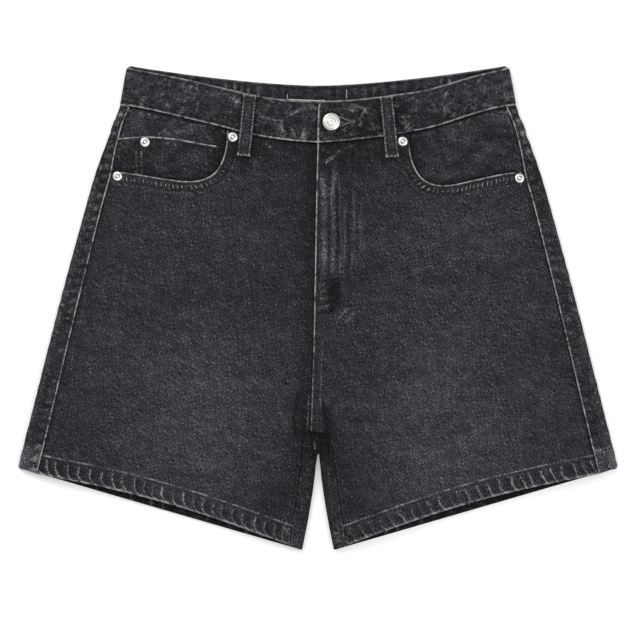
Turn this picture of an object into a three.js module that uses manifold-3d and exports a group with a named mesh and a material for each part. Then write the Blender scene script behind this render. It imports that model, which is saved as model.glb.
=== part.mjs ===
// High-waisted denim shorts, laid flat on their back with the front up. Millimetres, +Z up, waist towards +Y.
// The origin is under the middle of the garment, on the surface that it lies on. +X is the wearer's left.
// The front layer lies over the back one, and the back panels come round both edges of each leg to the seams.
import * as THREE from "three";
import { mergeVertices } from "three/addons/utils/BufferGeometryUtils.js";
import Module from "manifold-3d";

const wasm = await Module();
wasm.setup();

// Cloth and how it lies
const DENIM = 1.2; // one layer of denim
const BAND = 2.6; // the waistband: two layers with their turnings
const LOOP = 1.8; // a belt loop, folded in three
const SEAM_GAP = 0.3; // clearance between two pieces at a seam
const FOLD_RADIUS = 3.5; // at the middle of the cloth, where the back turns up to the front
const CROWN = 5; // how far the front stands above its own edges
const CROWN_RUN = 45; // how far in from an edge the front reaches that height
const HEM_EXTRA = 1.4; // the turned-up cloth inside a hem
const HEM_RIDGE = 0.3; // how far a hem stands out of the front
const FELL_EXTRA = 0.7; // a felled seam's spare thickness
const ROW_LEAN = 0.2875; // the hem's slope, which the cloth's cross grain follows

// Main lines on the table, worked out for one half and mirrored
const SADDLE_Y = -137; // the fold between the legs
const FORK_TOP = SADDLE_Y - 2.5; // where the inner legs part
const CROTCH = { x: -7, y: -117 }; // where the four leg panels meet
const HEM_CORNER = { x: 284.3, y: -152 }; // the outer corner of the back hem
const HEM_DEPTH = 18.2; // measured down the garment
const HEM_ARCH = 7; // how far the front hem is drawn up above the back hem
const INSEAM_HEM = { x: 26.1, y: -225.4 };
const BAND_FOLD = { seamX: 186.7, seamY: 193.4, topX: 180.5 };

// The side: its folded edge, how far the back comes round to the front, and how steeply that strip leans
const SIDE = [
  { y: 193.4, fold: 186.7, wrap: 8.6, lean: 0.19 },
  { y: 178.4, fold: 191.9, wrap: 7.1, lean: 0.27 },
  { y: 153.2, fold: 201.4, wrap: 9.5, lean: 0.2875 },
  { y: 129.4, fold: 210.0, wrap: 13.3, lean: 0.2875 },
  { y: 99.0, fold: 219.0, wrap: 13.8, lean: 0.2875 },
  { y: 7.8, fold: 243.7, wrap: 15.7, lean: 0.2875 },
  { y: -113.8, fold: 274.6, wrap: 17.6, lean: 0.2875 },
  { y: -152.0, fold: 284.3, wrap: 17.8, lean: 0.2875 },
];

// The waistband on the front: its seam and its top edge, by distance from the middle
const FRONT_BAND = [
  { x: 0, seam: 156.9, top: 196.3 },
  { x: 30, seam: 159.4, top: 197.7 },
  { x: 59, seam: 163.8, top: 201.8 },
  { x: 71, seam: 166.6, top: 204.6 },
  { x: 93, seam: 172.5, top: 209.6 },
  { x: 116, seam: 178.0, top: 215.1 },
  { x: 142, seam: 184.2, top: 220.6 },
  { x: 166, seam: 189.6, top: 225.3 },
  { x: 187, seam: 193.4, top: 229.4 },
];

// Lines across the back, each from the middle (or the inner leg) to the side fold. bow bends the line upwards
const BACK_TOP = { middle: 211.1, side: 229.2, bow: 1.55 };
const BACK_SEAM = { middle: 173.1, side: 193.4, bow: 1.5 };
const YOKE_SEAM = { middle: 111.0, side: 178.4, bow: 1.2 };
const BACK_HEM = { middle: -229.2, side: -152.0, bow: 1.0 };

// The pocket mouth, from the waistband to the side seam
const POCKET_MOUTH = [
  { x: 85.5, y: 172.0 },
  { x: 87.2, y: 153.2 },
  { x: 91.0, y: 139.5 },
  { x: 98.5, y: 128.0 },
  { x: 110.5, y: 121.8 },
  { x: 126.0, y: 120.4 },
  { x: 148.0, y: 123.0 },
  { x: 172.0, y: 127.0 },
  { x: 197.5, y: 130.5 },
];
const MOUTH_STEPS = 20;
const MOUTH_END_X = 190; // where the mouth's curve hands over to the side seam
const MOUTH_END_Y = 132.5;

// The top of the coin pocket, from the side seam inwards, then down its free side
const COIN_TOP = [
  { x: 192.0, y: 161.0 },
  { x: 163.4, y: 162.7 },
  { x: 136.0, y: 160.8 },
  { x: 113.0, y: 156.6 },
  { x: 96.5, y: 153.8 },
];
const COIN_CORNER = { x: 93.4, y: 140.5 };

// The lower edge of the denim facing behind the pocket mouth
const FACING_FOOT = [
  { x: 196.0, y: 111.0 },
  { x: 160.0, y: 104.0 },
  { x: 122.0, y: 101.0 },
  { x: 90.0, y: 109.0 },
  { x: 76.0, y: 130.0 },
];

// The inner leg: the folded edge beside the gap, the inward direction there, and the inseam on the front
const INNER_LEG = [
  { foldX: 2.9, foldY: -152.0, seamX: 15.2, seamY: -147.5 },
  { foldX: 4.3, foldY: -165.0, seamX: 16.9, seamY: -161.4 },
  { foldX: 8.1, foldY: -190.0, seamX: 20.3, seamY: -186.4 },
  { foldX: 11.9, foldY: -211.0, seamX: 23.9, seamY: -207.5 },
  { foldX: 15.7, foldY: -229.2, seamX: INSEAM_HEM.x, seamY: INSEAM_HEM.y },
];
// Round the fork, where the fold turns from the saddle down the leg. The crotch lies to the wearer's right
const FORK = {
  left: [
    { foldX: SEAM_GAP / 2, foldY: SADDLE_Y, seamX: CROTCH.x + SEAM_GAP / 2, seamY: CROTCH.y, turn: 90 },
    { foldX: 1.3, foldY: SADDLE_Y - 0.7, seamX: 4.0, seamY: -118.0, turn: 60 },
    { foldX: 1.9, foldY: FORK_TOP, seamX: 9.5, seamY: -123.5, turn: 32 },
    { foldX: 2.2, foldY: SADDLE_Y - 8.0, seamX: 13.5, seamY: -134.0, turn: 18 },
  ],
  right: [
    { foldX: SEAM_GAP / 2, foldY: SADDLE_Y, seamX: -CROTCH.x + SEAM_GAP / 2, seamY: CROTCH.y, turn: 90 },
    { foldX: 1.3, foldY: SADDLE_Y - 0.7, seamX: 11.5, seamY: -118.5, turn: 60 },
    { foldX: 1.9, foldY: FORK_TOP, seamX: 14.0, seamY: -124.0, turn: 32 },
    { foldX: 2.2, foldY: SADDLE_Y - 8.0, seamX: 14.8, seamY: -134.0, turn: 18 },
  ],
};
const LEG_TURN = 14; // degrees between the cross direction of the leg and +X
// How far the back rise lies below the front at the crotch, and where that fades out
const FORK_RECESS = { depth: 1.8, middle: -1, reach: 14, soft: 8, foot: -150, run: 12 };

// The centre-front line, from the waistband to the crotch
const CENTRE_FRONT = [
  { y: 200.0, x: -0.7 },
  { y: 155.0, x: -0.5 },
  { y: 122.0, x: -1.4 },
  { y: 40.0, x: -2.9 },
  { y: -35.0, x: -4.3 },
  { y: -78.0, x: -5.7 },
  { y: -117.0, x: -7.0 },
];
const FLY = { foot: -2.6, lift: 0.8, flat: 34, run: 30, closed: 0.45, closing: 40 };
const SHIELD = { edge: 30, start: 4, corner: 22, rise: [12, 26], topGap: 2.5, foldX: 8, foldGap: 1.5 };
const BAND_LAP = { under: 26, lift: 1.5, run: 34, start: 12 };

// The wearer's left side lies a little lower between the belt loop and the hip
const SAG = { depth: 4.6, middle: 105, reach: 40 };

// The largest folds of the front: valleys are negative. Each runs from one end to the other and fades at both
const FRONT_FOLDS = [
  { x0: -15.0, y0: -74, x1: -14.5, y1: -126, rise: -2.2, width: 5 },
  { x0: 8.6, y0: -84, x1: 10.5, y1: -142, rise: -2.2, width: 5 },
  { x0: 19.0, y0: 140, x1: 15.0, y1: 32, rise: 0.9, width: 4 },
  { x0: 32.0, y0: 128, x1: 30.0, y1: 40, rise: 0.7, width: 5 },
  { x0: 22.0, y0: 20, x1: 70.0, y1: 52, rise: -0.8, width: 9 },
  { x0: 40.0, y0: -52, x1: 150.0, y1: -22, rise: 0.8, width: 14 },
  { x0: -34.0, y0: -60, x1: -130.0, y1: -20, rise: 0.8, width: 14 },
  { x0: -28.0, y0: -168, x1: -60.0, y1: -205, rise: -0.9, width: 8 },
  { x0: 30.0, y0: -178, x1: 62.0, y1: -207, rise: -0.9, width: 8 },
];

// Hardware
const RIVET = { radius: 4.6, height: 1.6, clear: 0.8, sides: 14 };
const RIVETS = [
  { name: "rivet_right_loop", x: -80.8, y: 162.2 },
  { name: "rivet_right_side", x: -190.0, y: 125.0 },
  { name: "rivet_coin_pocket", x: -163.9, y: 157.3 },
  { name: "rivet_left_loop", x: 80.4, y: 158.1 },
  { name: "rivet_left_side", x: 191.0, y: 123.4 },
];
const BUTTON = { x: 12.7, y: 176.6, radius: 8.5, shank: 2.1, sides: 28 };
const BUTTONHOLE = { eye: 2.6, slot: 1.2, end: 34.7 };
const FRONT_LOOP = { topX: 64.5, footX: 70.5, footY: 144.6, width: 12.2, stand: 0.8 };
const BACK_LOOP = { width: 12.2, depth: 1.2, sideX: 108, footClear: 1.5, topClear: 0.9, corner: 1.2 };
const RECESS_TALL = 4; // how far the cutter for a loop's recess reaches below the band
const LABEL = { width: 56, foot: 175.5, top: 197.2, thickness: 1.0 };

const DENIM_FINISH = { color: 0x37363a, roughness: 0.92, metalness: 0 };
const METAL_FINISH = { color: 0xd8d6d0, roughness: 0.32, metalness: 1 };

// Small helpers

const lerp = THREE.MathUtils.lerp;
const ease = (s) => THREE.MathUtils.smoothstep(s, 0, 1);

// A smooth function through the rows of a table, straight beyond its ends
function through(table, from, to) {
  const rows = [...table].sort((a, b) => a[from] - b[from]);
  const slopes = rows.map((row, i) => {
    const before = rows[Math.max(i - 1, 0)];
    const after = rows[Math.min(i + 1, rows.length - 1)];
    return (after[to] - before[to]) / (after[from] - before[from]);
  });
  return (value) => {
    let i = 0;
    while (i < rows.length - 2 && value > rows[i + 1][from]) i += 1;
    const [a, b] = [rows[i], rows[i + 1]];
    const run = b[from] - a[from];
    const s = (value - a[from]) / run;
    if (s < 0) return a[to] + slopes[i] * (value - a[from]);
    if (s > 1) return b[to] + slopes[i + 1] * (value - b[from]);
    const bend = s * s * (3 - 2 * s);
    return (
      lerp(a[to], b[to], bend) +
      run * s * (1 - s) * ((1 - s) * slopes[i] - s * slopes[i + 1])
    );
  };
}

const sideFold = through(SIDE, "y", "fold");
const sideWrap = through(SIDE, "y", "wrap");
const sideLean = through(SIDE, "y", "lean");
const bandSeam = through(FRONT_BAND, "x", "seam");
const bandTop = through(FRONT_BAND, "x", "top");
const centreFront = through(CENTRE_FRONT, "y", "x");
const innerFold = through(
  [{ foldY: FORK_TOP, foldX: 1.9 }, ...INNER_LEG],
  "foldY",
  "foldX",
);
const coinTop = through(COIN_TOP, "x", "y");

const sag = (x) =>
  x > 0 ? -SAG.depth * Math.exp(-(((x - SAG.middle) / SAG.reach) ** 2)) : 0;
const frontSeamY = (x) => bandSeam(Math.abs(x)) + sag(x);
const frontTopY = (x) => bandTop(Math.abs(x)) + sag(x);

// Where the side seam lies, for a point of the side fold
function sideSeam(y) {
  const wrap = sideWrap(y);
  return { x: sideFold(y) - wrap, y: y - wrap * sideLean(y) };
}

// How far the front has risen from the folded edges: 0 at an edge and 1 well inside
function crownShare(x, y) {
  const fromSide = sideFold(y) - Math.abs(x);
  const across = Math.max(Math.abs(x) - innerFold(Math.min(y, FORK_TOP)), 0);
  const fromGap = y < SADDLE_Y ? across : Math.hypot(across, y - SADDLE_Y);
  return (
    ease((fromSide - FOLD_RADIUS) / CROWN_RUN) *
    ease((fromGap - FOLD_RADIUS) / CROWN_RUN)
  );
}

// One fold of the front at a point: a soft ridge or trough that fades at both ends
function foldRise(fold, x, y) {
  const [dx, dy] = [fold.x1 - fold.x0, fold.y1 - fold.y0];
  const length = Math.hypot(dx, dy);
  const along = ((x - fold.x0) * dx + (y - fold.y0) * dy) / length;
  const off = ((x - fold.x0) * dy - (y - fold.y0) * dx) / length;
  const fade = ease(Math.min(along, length - along) / (length * 0.3));
  return fold.rise * fade * Math.exp(-((off / fold.width) ** 2));
}

// The middle of the front layer's cloth
const topLayer = (x, y) => DENIM / 2 + 2 * FOLD_RADIUS + CROWN * crownShare(x, y);

// The front panels lap at the fly: the wearer's left one lies on top
function frontPanel(x, y, side) {
  const near = 1 - ease((Math.abs(x - centreFront(y)) - FLY.flat) / FLY.run);
  const open = lerp(FLY.closed, 1, ease((y - FLY.foot) / FLY.closing + 0.5));
  const folds = FRONT_FOLDS.reduce((sum, fold) => sum + foldRise(fold, x, y), 0);
  return topLayer(x, y) + side * FLY.lift * near * open + folds;
}

// The middle of the waistband's cloth on the front, whose lap is thicker than the fly's
function bandLayer(x, y, side) {
  const off = side > 0 ? x : -x;
  const near = 1 - ease((off - BAND_LAP.start - BAND_LAP.run) / BAND_LAP.run);
  return BAND / 2 + 2 * FOLD_RADIUS + CROWN * crownShare(x, y) + side * BAND_LAP.lift * near;
}

// Geometry builders

const solidOf = (geometry) => {
  const bare = geometry.index ? geometry.toNonIndexed() : geometry.clone();
  for (const name of Object.keys(bare.attributes))
    if (name !== "position") bare.deleteAttribute(name);
  const merged = mergeVertices(bare, 1e-4);
  return new wasm.Manifold(
    new wasm.Mesh({
      numProp: 3,
      vertProperties: new Float32Array(merged.attributes.position.array),
      triVerts: new Uint32Array(merged.index.array),
    }),
  );
};

const geometryOf = (solid) => {
  const mesh = solid.getMesh();
  const positions = new Float32Array(mesh.numVert * 3);
  for (let i = 0; i < mesh.numVert; i += 1)
    positions.set(mesh.vertProperties.subarray(i * mesh.numProp, i * mesh.numProp + 3), i * 3);
  return new THREE.BufferGeometry()
    .setAttribute("position", new THREE.BufferAttribute(positions, 3))
    .setIndex(new THREE.BufferAttribute(new Uint32Array(mesh.triVerts), 1));
};

// A wall over a grid of points, each { p, out, inn }. A missing point leaves a hole in the grid.
// The wall's outer side lies out along the grid's normal, which face turns round. A point that is
// flush keeps its wall upright over the middle plane, so that it meets its mirror image there.
function wallOver(grid, face) {
  const points = [];
  const index = grid.map((row) => row.map((cell) => (cell ? points.push(cell) - 1 : -1)));
  const quads = [];
  for (let j = 0; j + 1 < grid.length; j += 1)
    for (let i = 0; i + 1 < grid[j].length; i += 1) {
      const quad = [index[j][i], index[j][i + 1], index[j + 1][i + 1], index[j + 1][i]];
      if (!quad.includes(-1)) quads.push(face > 0 ? quad : quad.reverse());
    }
  const triangles = quads.flatMap(([a, b, c, d]) => [[a, b, c], [a, c, d]]);
  const normals = points.map(() => new THREE.Vector3());
  const [ab, ac] = [new THREE.Vector3(), new THREE.Vector3()];
  for (const [a, b, c] of triangles) {
    ab.subVectors(points[b].p, points[a].p);
    ac.subVectors(points[c].p, points[a].p);
    ab.cross(ac);
    for (const corner of [a, b, c]) normals[corner].add(ab);
  }
  normals.forEach((normal, i) => {
    if (points[i].flush) normal.x = 0;
    normal.normalize();
  });
  const count = points.length;
  const positions = new Float32Array(count * 6);
  points.forEach(({ p, out, inn }, i) => {
    p.clone().addScaledVector(normals[i], out).toArray(positions, i * 3);
    p.clone().addScaledVector(normals[i], -inn).toArray(positions, (count + i) * 3);
  });
  const rim = new Map();
  for (const [a, b, c] of triangles)
    for (const [from, to] of [[a, b], [b, c], [c, a]])
      if (!rim.delete(`${to},${from}`)) rim.set(`${from},${to}`, [from, to]);
  const faces = [
    ...triangles,
    ...triangles.map(([a, b, c]) => [count + c, count + b, count + a]),
    ...[...rim.values()].flatMap(([from, to]) => [
      [to, from, count + from],
      [to, count + from, count + to],
    ]),
  ];
  return new THREE.BufferGeometry()
    .setAttribute("position", new THREE.BufferAttribute(positions, 3))
    .setIndex(faces.flat());
}

// A slab between two heights over a grid of lines
function slab(xs, ys, top, bottom) {
  const grid = ys.map((y) =>
    xs.map((x) => {
      const [high, low] = [top(x, y), bottom(x, y)];
      return { high: new THREE.Vector3(x, y, high), low: new THREE.Vector3(x, y, low) };
    }),
  );
  const [rows, columns] = [ys.length, xs.length];
  const positions = [];
  for (const level of ["high", "low"])
    for (const row of grid) for (const cell of row) positions.push(...cell[level].toArray());
  const at = (j, i, low) => (low ? rows * columns : 0) + j * columns + i;
  const faces = [];
  const quad = (a, b, c, d) => faces.push(a, b, c, a, c, d);
  for (let j = 0; j + 1 < rows; j += 1)
    for (let i = 0; i + 1 < columns; i += 1) {
      quad(at(j, i, 0), at(j, i + 1, 0), at(j + 1, i + 1, 0), at(j + 1, i, 0));
      quad(at(j, i, 1), at(j + 1, i, 1), at(j + 1, i + 1, 1), at(j, i + 1, 1));
    }
  for (let i = 0; i + 1 < columns; i += 1) {
    quad(at(0, i, 1), at(0, i + 1, 1), at(0, i + 1, 0), at(0, i, 0));
    quad(at(rows - 1, i, 0), at(rows - 1, i + 1, 0), at(rows - 1, i + 1, 1), at(rows - 1, i, 1));
  }
  for (let j = 0; j + 1 < rows; j += 1) {
    quad(at(j, 0, 0), at(j + 1, 0, 0), at(j + 1, 0, 1), at(j, 0, 1));
    quad(at(j, columns - 1, 1), at(j + 1, columns - 1, 1), at(j + 1, columns - 1, 0), at(j, columns - 1, 0));
  }
  return solidOf(
    new THREE.BufferGeometry()
      .setAttribute("position", new THREE.Float32BufferAttribute(positions, 3))
      .setIndex(faces),
  );
}

// An upright prism over an outline of { x, y } points
const TALL = 60;
function prism(outline) {
  const corners = outline.map(({ x, y }) => new THREE.Vector2(x, y));
  if (THREE.ShapeUtils.isClockWise(corners)) corners.reverse();
  const options = { depth: 2 * TALL, bevelEnabled: false };
  return solidOf(new THREE.ExtrudeGeometry(new THREE.Shape(corners), options).translate(0, 0, -TALL));
}

const spread = (from, to, steps) =>
  Array.from({ length: steps + 1 }, (_, i) => lerp(from, to, i / steps));
const mirrored = (points, side) => points.map(({ x, y }) => ({ x: x * side, y }));

// Front panels

// The pocket mouth's curve for one side of the garment, from the waistband to the side seam
function pocketMouth(side, inset = 0) {
  const curve = new THREE.SplineCurve(
    POCKET_MOUTH.map(({ x, y }) => new THREE.Vector2(x, y + sag(x * side))),
  );
  return spread(0, 1, MOUTH_STEPS).map((s) => {
    const point = curve.getPoint(s);
    const tangent = curve.getTangent(s);
    return { x: point.x - tangent.y * inset, y: point.y + tangent.x * inset };
  });
}

// The side seam below a height, as the front panel's edge
function sideEdge(fromY, toY, steps) {
  return spread(fromY, toY, steps).map((y) => {
    const seam = sideSeam(y);
    return { x: seam.x - SEAM_GAP / 2, y: seam.y };
  });
}

const backHemY = (x) => HEM_CORNER.y - (HEM_CORNER.x - x) * ROW_LEAN;
const HEM_SEAM = sideSeam(HEM_CORNER.y);
function frontHemY(x) {
  const s = THREE.MathUtils.clamp((x - INSEAM_HEM.x) / (HEM_SEAM.x - INSEAM_HEM.x), 0, 1);
  const ends = lerp(INSEAM_HEM.y - backHemY(INSEAM_HEM.x), HEM_SEAM.y - backHemY(HEM_SEAM.x), s);
  return backHemY(x) + ends + HEM_ARCH * Math.sin(Math.PI * s);
}

const sideName = (side) => (side > 0 ? "left" : "right");

// The inseam from the crotch to the hem, as the front panel's edge
function inseamEdge(side) {
  const rows = [...FORK[sideName(side)], ...INNER_LEG];
  return rows.map(({ seamX, seamY }, i) => {
    const across = i === 0 ? 0 : SEAM_GAP / 2;
    const up = i < 3 ? SEAM_GAP : 0;
    return { x: seamX + across, y: seamY + up };
  });
}

function frontOutline(side) {
  const seamY = (x) => frontSeamY(x * side) - SEAM_GAP;
  const cf = (y) => centreFront(y) * side + SEAM_GAP / 2;
  const mouth = pocketMouth(side).filter(({ x, y }) => y < seamY(x) - 1);
  const mouthTopX = mouth[0].x - 0.4;
  const top = spread(cf(seamY(0)), mouthTopX, 8).map((x) => ({ x, y: seamY(x) }));
  const inMouth = mouth.filter(({ x }) => x < MOUTH_END_X);
  const sideRun = sideEdge(MOUTH_END_Y, HEM_CORNER.y, 12);
  const hem = spread(HEM_SEAM.x, INSEAM_HEM.x, 16).map((x) => ({ x, y: frontHemY(x) }));
  const inner = inseamEdge(side).reverse();
  const rise = [-100, -78, -35, 0].map((y) => ({ x: cf(y), y }));
  const fly = [60, 100, 135].map((y) => ({ x: cf(y), y }));
  // Under the fly the wearer's right panel runs on as the shield
  const shield = [
    { x: cf(FLY.foot + SHIELD.start), y: FLY.foot + SHIELD.start },
    { x: -SHIELD.corner, y: FLY.foot + SHIELD.rise[0] },
    { x: -SHIELD.edge, y: FLY.foot + SHIELD.rise[1] },
    { x: -SHIELD.edge, y: frontSeamY(SHIELD.edge) - SHIELD.topGap },
    { x: -SHIELD.foldX, y: frontSeamY(0) - SHIELD.foldGap },
  ];
  const closed = side > 0 ? [...rise, ...fly] : [...rise.slice(0, 3), ...shield];
  return mirrored(
    [...top, ...inMouth, ...sideRun, ...hem.slice(1), ...inner.slice(1), ...closed],
    side,
  );
}

// Where the front panel's slab has its points: closer together over the fly and the fork
const FRONT_XS = [
  -34, -22, -15, -9, -3, 4, 10, 15, 20, 26, 32, 40,
  55, 75, 95, 115, 140, 165, 190, 215, 240, 262, 285,
];
const FRONT_YS = [
  -235, -222, -210, -195, -180, -165, -150, -137, -125, -112, -98, -80, -60,
  -38, -15, 8, 30, 55, 80, 103, 122, 140, 155, 172, 190,
];

function frontPanelGeometry(side) {
  const xs = side > 0 ? FRONT_XS : FRONT_XS.map((x) => -x).reverse();
  const middle = (x, y) => frontPanel(x, y, side);
  const cloth = slab(
    xs,
    FRONT_YS,
    (x, y) => middle(x, y) + DENIM / 2,
    (x, y) => middle(x, y) - DENIM / 2,
  );
  const hemCloth = slab(
    xs,
    FRONT_YS,
    (x, y) => middle(x, y) + DENIM / 2 + HEM_RIDGE,
    (x, y) => middle(x, y) - DENIM / 2 - HEM_EXTRA,
  );
  const hemTop = (x) => frontHemY(x) + HEM_DEPTH;
  const hemXs = spread(-5, HEM_CORNER.x, 16);
  const belowHem = [HEM_CORNER.x, -5].map((x) => ({ x, y: FRONT_YS[0] - 1 }));
  const hemZone = prism(mirrored([...hemXs.map((x) => ({ x, y: hemTop(x) })), ...belowHem], side));
  const body = cloth.add(hemCloth.intersect(hemZone));
  return geometryOf(body.intersect(prism(frontOutline(side))));
}

// Pocket facings and the coin pocket

const FACING_DROP = 1.55; // below the front panel
const FACING_XS = FRONT_XS.filter((x) => x > 50 && x < 220);
const FACING_YS = FRONT_YS.filter((y) => y > 75);

function facingGeometry(side) {
  const xs = side > 0 ? FACING_XS : FACING_XS.map((x) => -x).reverse();
  const middle = (x, y) => frontPanel(x, y, side) - FACING_DROP;
  const cloth = slab(
    xs,
    FACING_YS,
    (x, y) => middle(x, y) + DENIM / 2,
    (x, y) => middle(x, y) - DENIM / 2,
  );
  const foot = new THREE.SplineCurve(FACING_FOOT.map(({ x, y }) => new THREE.Vector2(x, y)))
    .getPoints(10)
    .map(({ x, y }) => ({ x, y }));
  const topFrom = foot[foot.length - 1].x;
  const seamY = (x) => frontSeamY(x * side) - SEAM_GAP;
  const topTo = sideSeam(BAND_FOLD.seamY).x - SEAM_GAP / 2;
  const outline = [
    ...spread(topFrom, topTo, 7).map((x) => ({ x, y: seamY(x) })),
    ...sideEdge(BAND_FOLD.seamY - 4, 118, 7),
    ...foot.slice(1),
  ];
  return geometryOf(cloth.intersect(prism(mirrored(outline, side))));
}

function coinPocketGeometry() {
  const side = -1;
  const middle = (x, y) => frontPanel(x, y, side) - FACING_DROP + DENIM + SEAM_GAP;
  const cloth = slab(
    FACING_XS.map((x) => -x).reverse(),
    FACING_YS,
    (x, y) => middle(x, y) + DENIM / 2,
    (x, y) => middle(x, y) - DENIM / 2,
  );
  const mouth = pocketMouth(side, 0.5).filter(({ x, y }) => y < COIN_CORNER.y && x < 189);
  const top = spread(COIN_TOP[4].x, 187.5, 9).map((x) => ({ x, y: coinTop(x) }));
  const sideRun = sideEdge(158, 134.5, 3);
  const outline = [...top, ...sideRun, ...mouth.reverse(), COIN_CORNER];
  return geometryOf(cloth.intersect(prism(mirrored(outline, side))));
}

// Back: yokes and back panels, which turn up at the side fold and come round to the side seam

const ACROSS = spread(0, 1, 10); // shares of the way from the middle to the side fold
const TURN = spread(-90, 90, 6).map(THREE.MathUtils.degToRad);

const cell = (x, y, z, out = DENIM / 2, inn = DENIM / 2) => ({
  p: new THREE.Vector3(x, y, z),
  out,
  inn,
});

// One row of the back: the flat run from its inner end to the side, the side fold and the strip on the front
function backRow(inner, sideY, bow, { extra = 0, outward = 0 } = {}) {
  const seam = sideSeam(sideY);
  const fold = { x: sideFold(sideY), y: sideY };
  const lean = sideLean(sideY);
  const length = Math.hypot(1, lean);
  const inward = { x: -1 / length, y: -lean / length };
  const centre = {
    x: fold.x + inward.x * FOLD_RADIUS,
    y: fold.y + inward.y * FOLD_RADIUS,
    z: DENIM / 2 + FOLD_RADIUS,
  };
  const flat = ACROSS.map((q) =>
    cell(
      lerp(inner.x, centre.x, q),
      inner.y + (centre.y - inner.y) * q ** bow,
      DENIM / 2,
      DENIM / 2,
      DENIM / 2 + extra + outward,
    ),
  );
  const turned = TURN.slice(1).map((angle) => {
    const reach = FOLD_RADIUS * Math.cos(angle);
    return cell(
      centre.x - inward.x * reach,
      centre.y - inward.y * reach,
      centre.z + FOLD_RADIUS * Math.sin(angle),
      DENIM / 2 + outward * ease((angle + 1) / 2),
      DENIM / 2 + extra,
    );
  });
  const strip = [0.5, 1].map((s) => {
    const x = lerp(centre.x, seam.x + SEAM_GAP, s);
    const y = lerp(centre.y, seam.y, s);
    return cell(x, y, topLayer(x, y), DENIM / 2 + outward, DENIM / 2 + extra);
  });
  return [...flat, ...turned, ...strip];
}

// The inner strip and fold of one row of a leg, from the inseam round to the underside
function innerRow({ foldX, foldY, seamX, seamY, turn = LEG_TURN }, first, extra = 0) {
  const angle = THREE.MathUtils.degToRad(turn);
  const inward = { x: Math.cos(angle), y: Math.sin(angle) };
  const centre = { x: foldX + inward.x * FOLD_RADIUS, y: foldY + inward.y * FOLD_RADIUS };
  const edgeX = seamX - (first ? 0 : SEAM_GAP);
  const strip = [1, 0.5].map((s) => {
    const x = lerp(centre.x, edgeX, s);
    const y = lerp(centre.y, seamY, s);
    const across = ease((FORK_RECESS.reach - Math.abs(x - FORK_RECESS.middle)) / FORK_RECESS.soft);
    const recess = FORK_RECESS.depth * across * ease((y - FORK_RECESS.foot) / FORK_RECESS.run);
    return cell(x, y, topLayer(x, y) - recess * s, DENIM / 2, DENIM / 2 + extra);
  });
  const turned = [...TURN].reverse().slice(0, -1).map((a) => {
    const reach = FOLD_RADIUS * Math.cos(a);
    const [x, y] = [centre.x - inward.x * reach, centre.y - inward.y * reach];
    const z = DENIM / 2 + FOLD_RADIUS + FOLD_RADIUS * Math.sin(a);
    return { ...cell(x, y, z, DENIM / 2, DENIM / 2 + extra), flush: first };
  });
  return { cells: [...strip, ...turned], start: centre };
}

// The rows of the inner leg, with two close ones where the hem's turned-up cloth begins
function innerStations(side) {
  const rows = [...FORK[sideName(side)], ...INNER_LEG];
  const at = through(rows, "foldY", "foldX");
  const seamXAt = through(rows, "foldY", "seamX");
  const seamYAt = through(rows, "foldY", "seamY");
  const station = (foldY) => ({ foldX: at(foldY), foldY, seamX: seamXAt(foldY), seamY: seamYAt(foldY) });
  const hemLine = BACK_HEM.middle + HEM_DEPTH;
  return [
    ...FORK[sideName(side)].map((row) => ({ ...row, hem: 0 })),
    ...[-156, -170, -184, -198].map((y) => ({ ...station(y), hem: 0 })),
    { ...station(hemLine + 0.4), hem: 0 },
    { ...station(hemLine - 0.4), hem: 1 },
    { ...station(-220), hem: 1 },
    { ...INNER_LEG[4], hem: 1 },
  ];
}

const YOKE_FELL = 11; // the felled seam below the yoke
const FELL_FOOT = YOKE_SEAM.middle - YOKE_FELL;
// The rows of the seat down its middle seam, with two close ones where the fell ends
const RISE_YS = [
  YOKE_SEAM.middle - SEAM_GAP, FELL_FOOT, FELL_FOOT - 0.8,
  78, 52, 26, 0, -26, -52, -78, -100, -118,
];

function backPanelGeometry(side) {
  const leg = innerStations(side);
  const share = (y) => (YOKE_SEAM.middle - y) / (YOKE_SEAM.middle - BACK_HEM.middle);
  const sideYAt = (y) => lerp(YOKE_SEAM.side, BACK_HEM.side, share(y));
  const bowAt = (y) => lerp(YOKE_SEAM.bow, BACK_HEM.bow, share(y));
  const riseRows = RISE_YS.map((y, i) => {
    const felled = i < 2 ? FELL_EXTRA : 0;
    const sideY = i === 0 ? YOKE_SEAM.side - SEAM_GAP : sideYAt(y);
    return [
      ...Array(2 + TURN.length - 1).fill(null),
      ...backRow({ x: SEAM_GAP / 2, y }, sideY, bowAt(y), { outward: felled }),
    ];
  });
  const legRows = leg.map((row, i) => {
    const extra = row.hem * HEM_EXTRA;
    const inner = innerRow(row, i === 0, extra);
    const sideY = i === leg.length - 1 ? BACK_HEM.side : sideYAt(row.foldY);
    return [...inner.cells, ...backRow(inner.start, sideY, bowAt(row.foldY), { extra })];
  });
  return wallOver(mirrorGrid([...riseRows, ...legRows], side), side);
}

function mirrorGrid(grid, side) {
  return grid.map((row) =>
    row.map((point) => point && { ...point, p: point.p.clone().multiply(new THREE.Vector3(side, 1, 1)) }),
  );
}

function yokeGeometry(side) {
  const rows = [0, 0.34, 0.67, 1].map((v) => {
    const y = lerp(BACK_SEAM.middle - SEAM_GAP, YOKE_SEAM.middle, v);
    const sideY = lerp(BACK_SEAM.side - 3 * SEAM_GAP, YOKE_SEAM.side, v);
    return backRow({ x: SEAM_GAP / 2, y }, sideY, lerp(BACK_SEAM.bow, YOKE_SEAM.bow, v));
  });
  return wallOver(mirrorGrid(rows, side), side);
}

// Waistband: one band from the lap on the front, round the back, to the end under the lap

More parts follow.
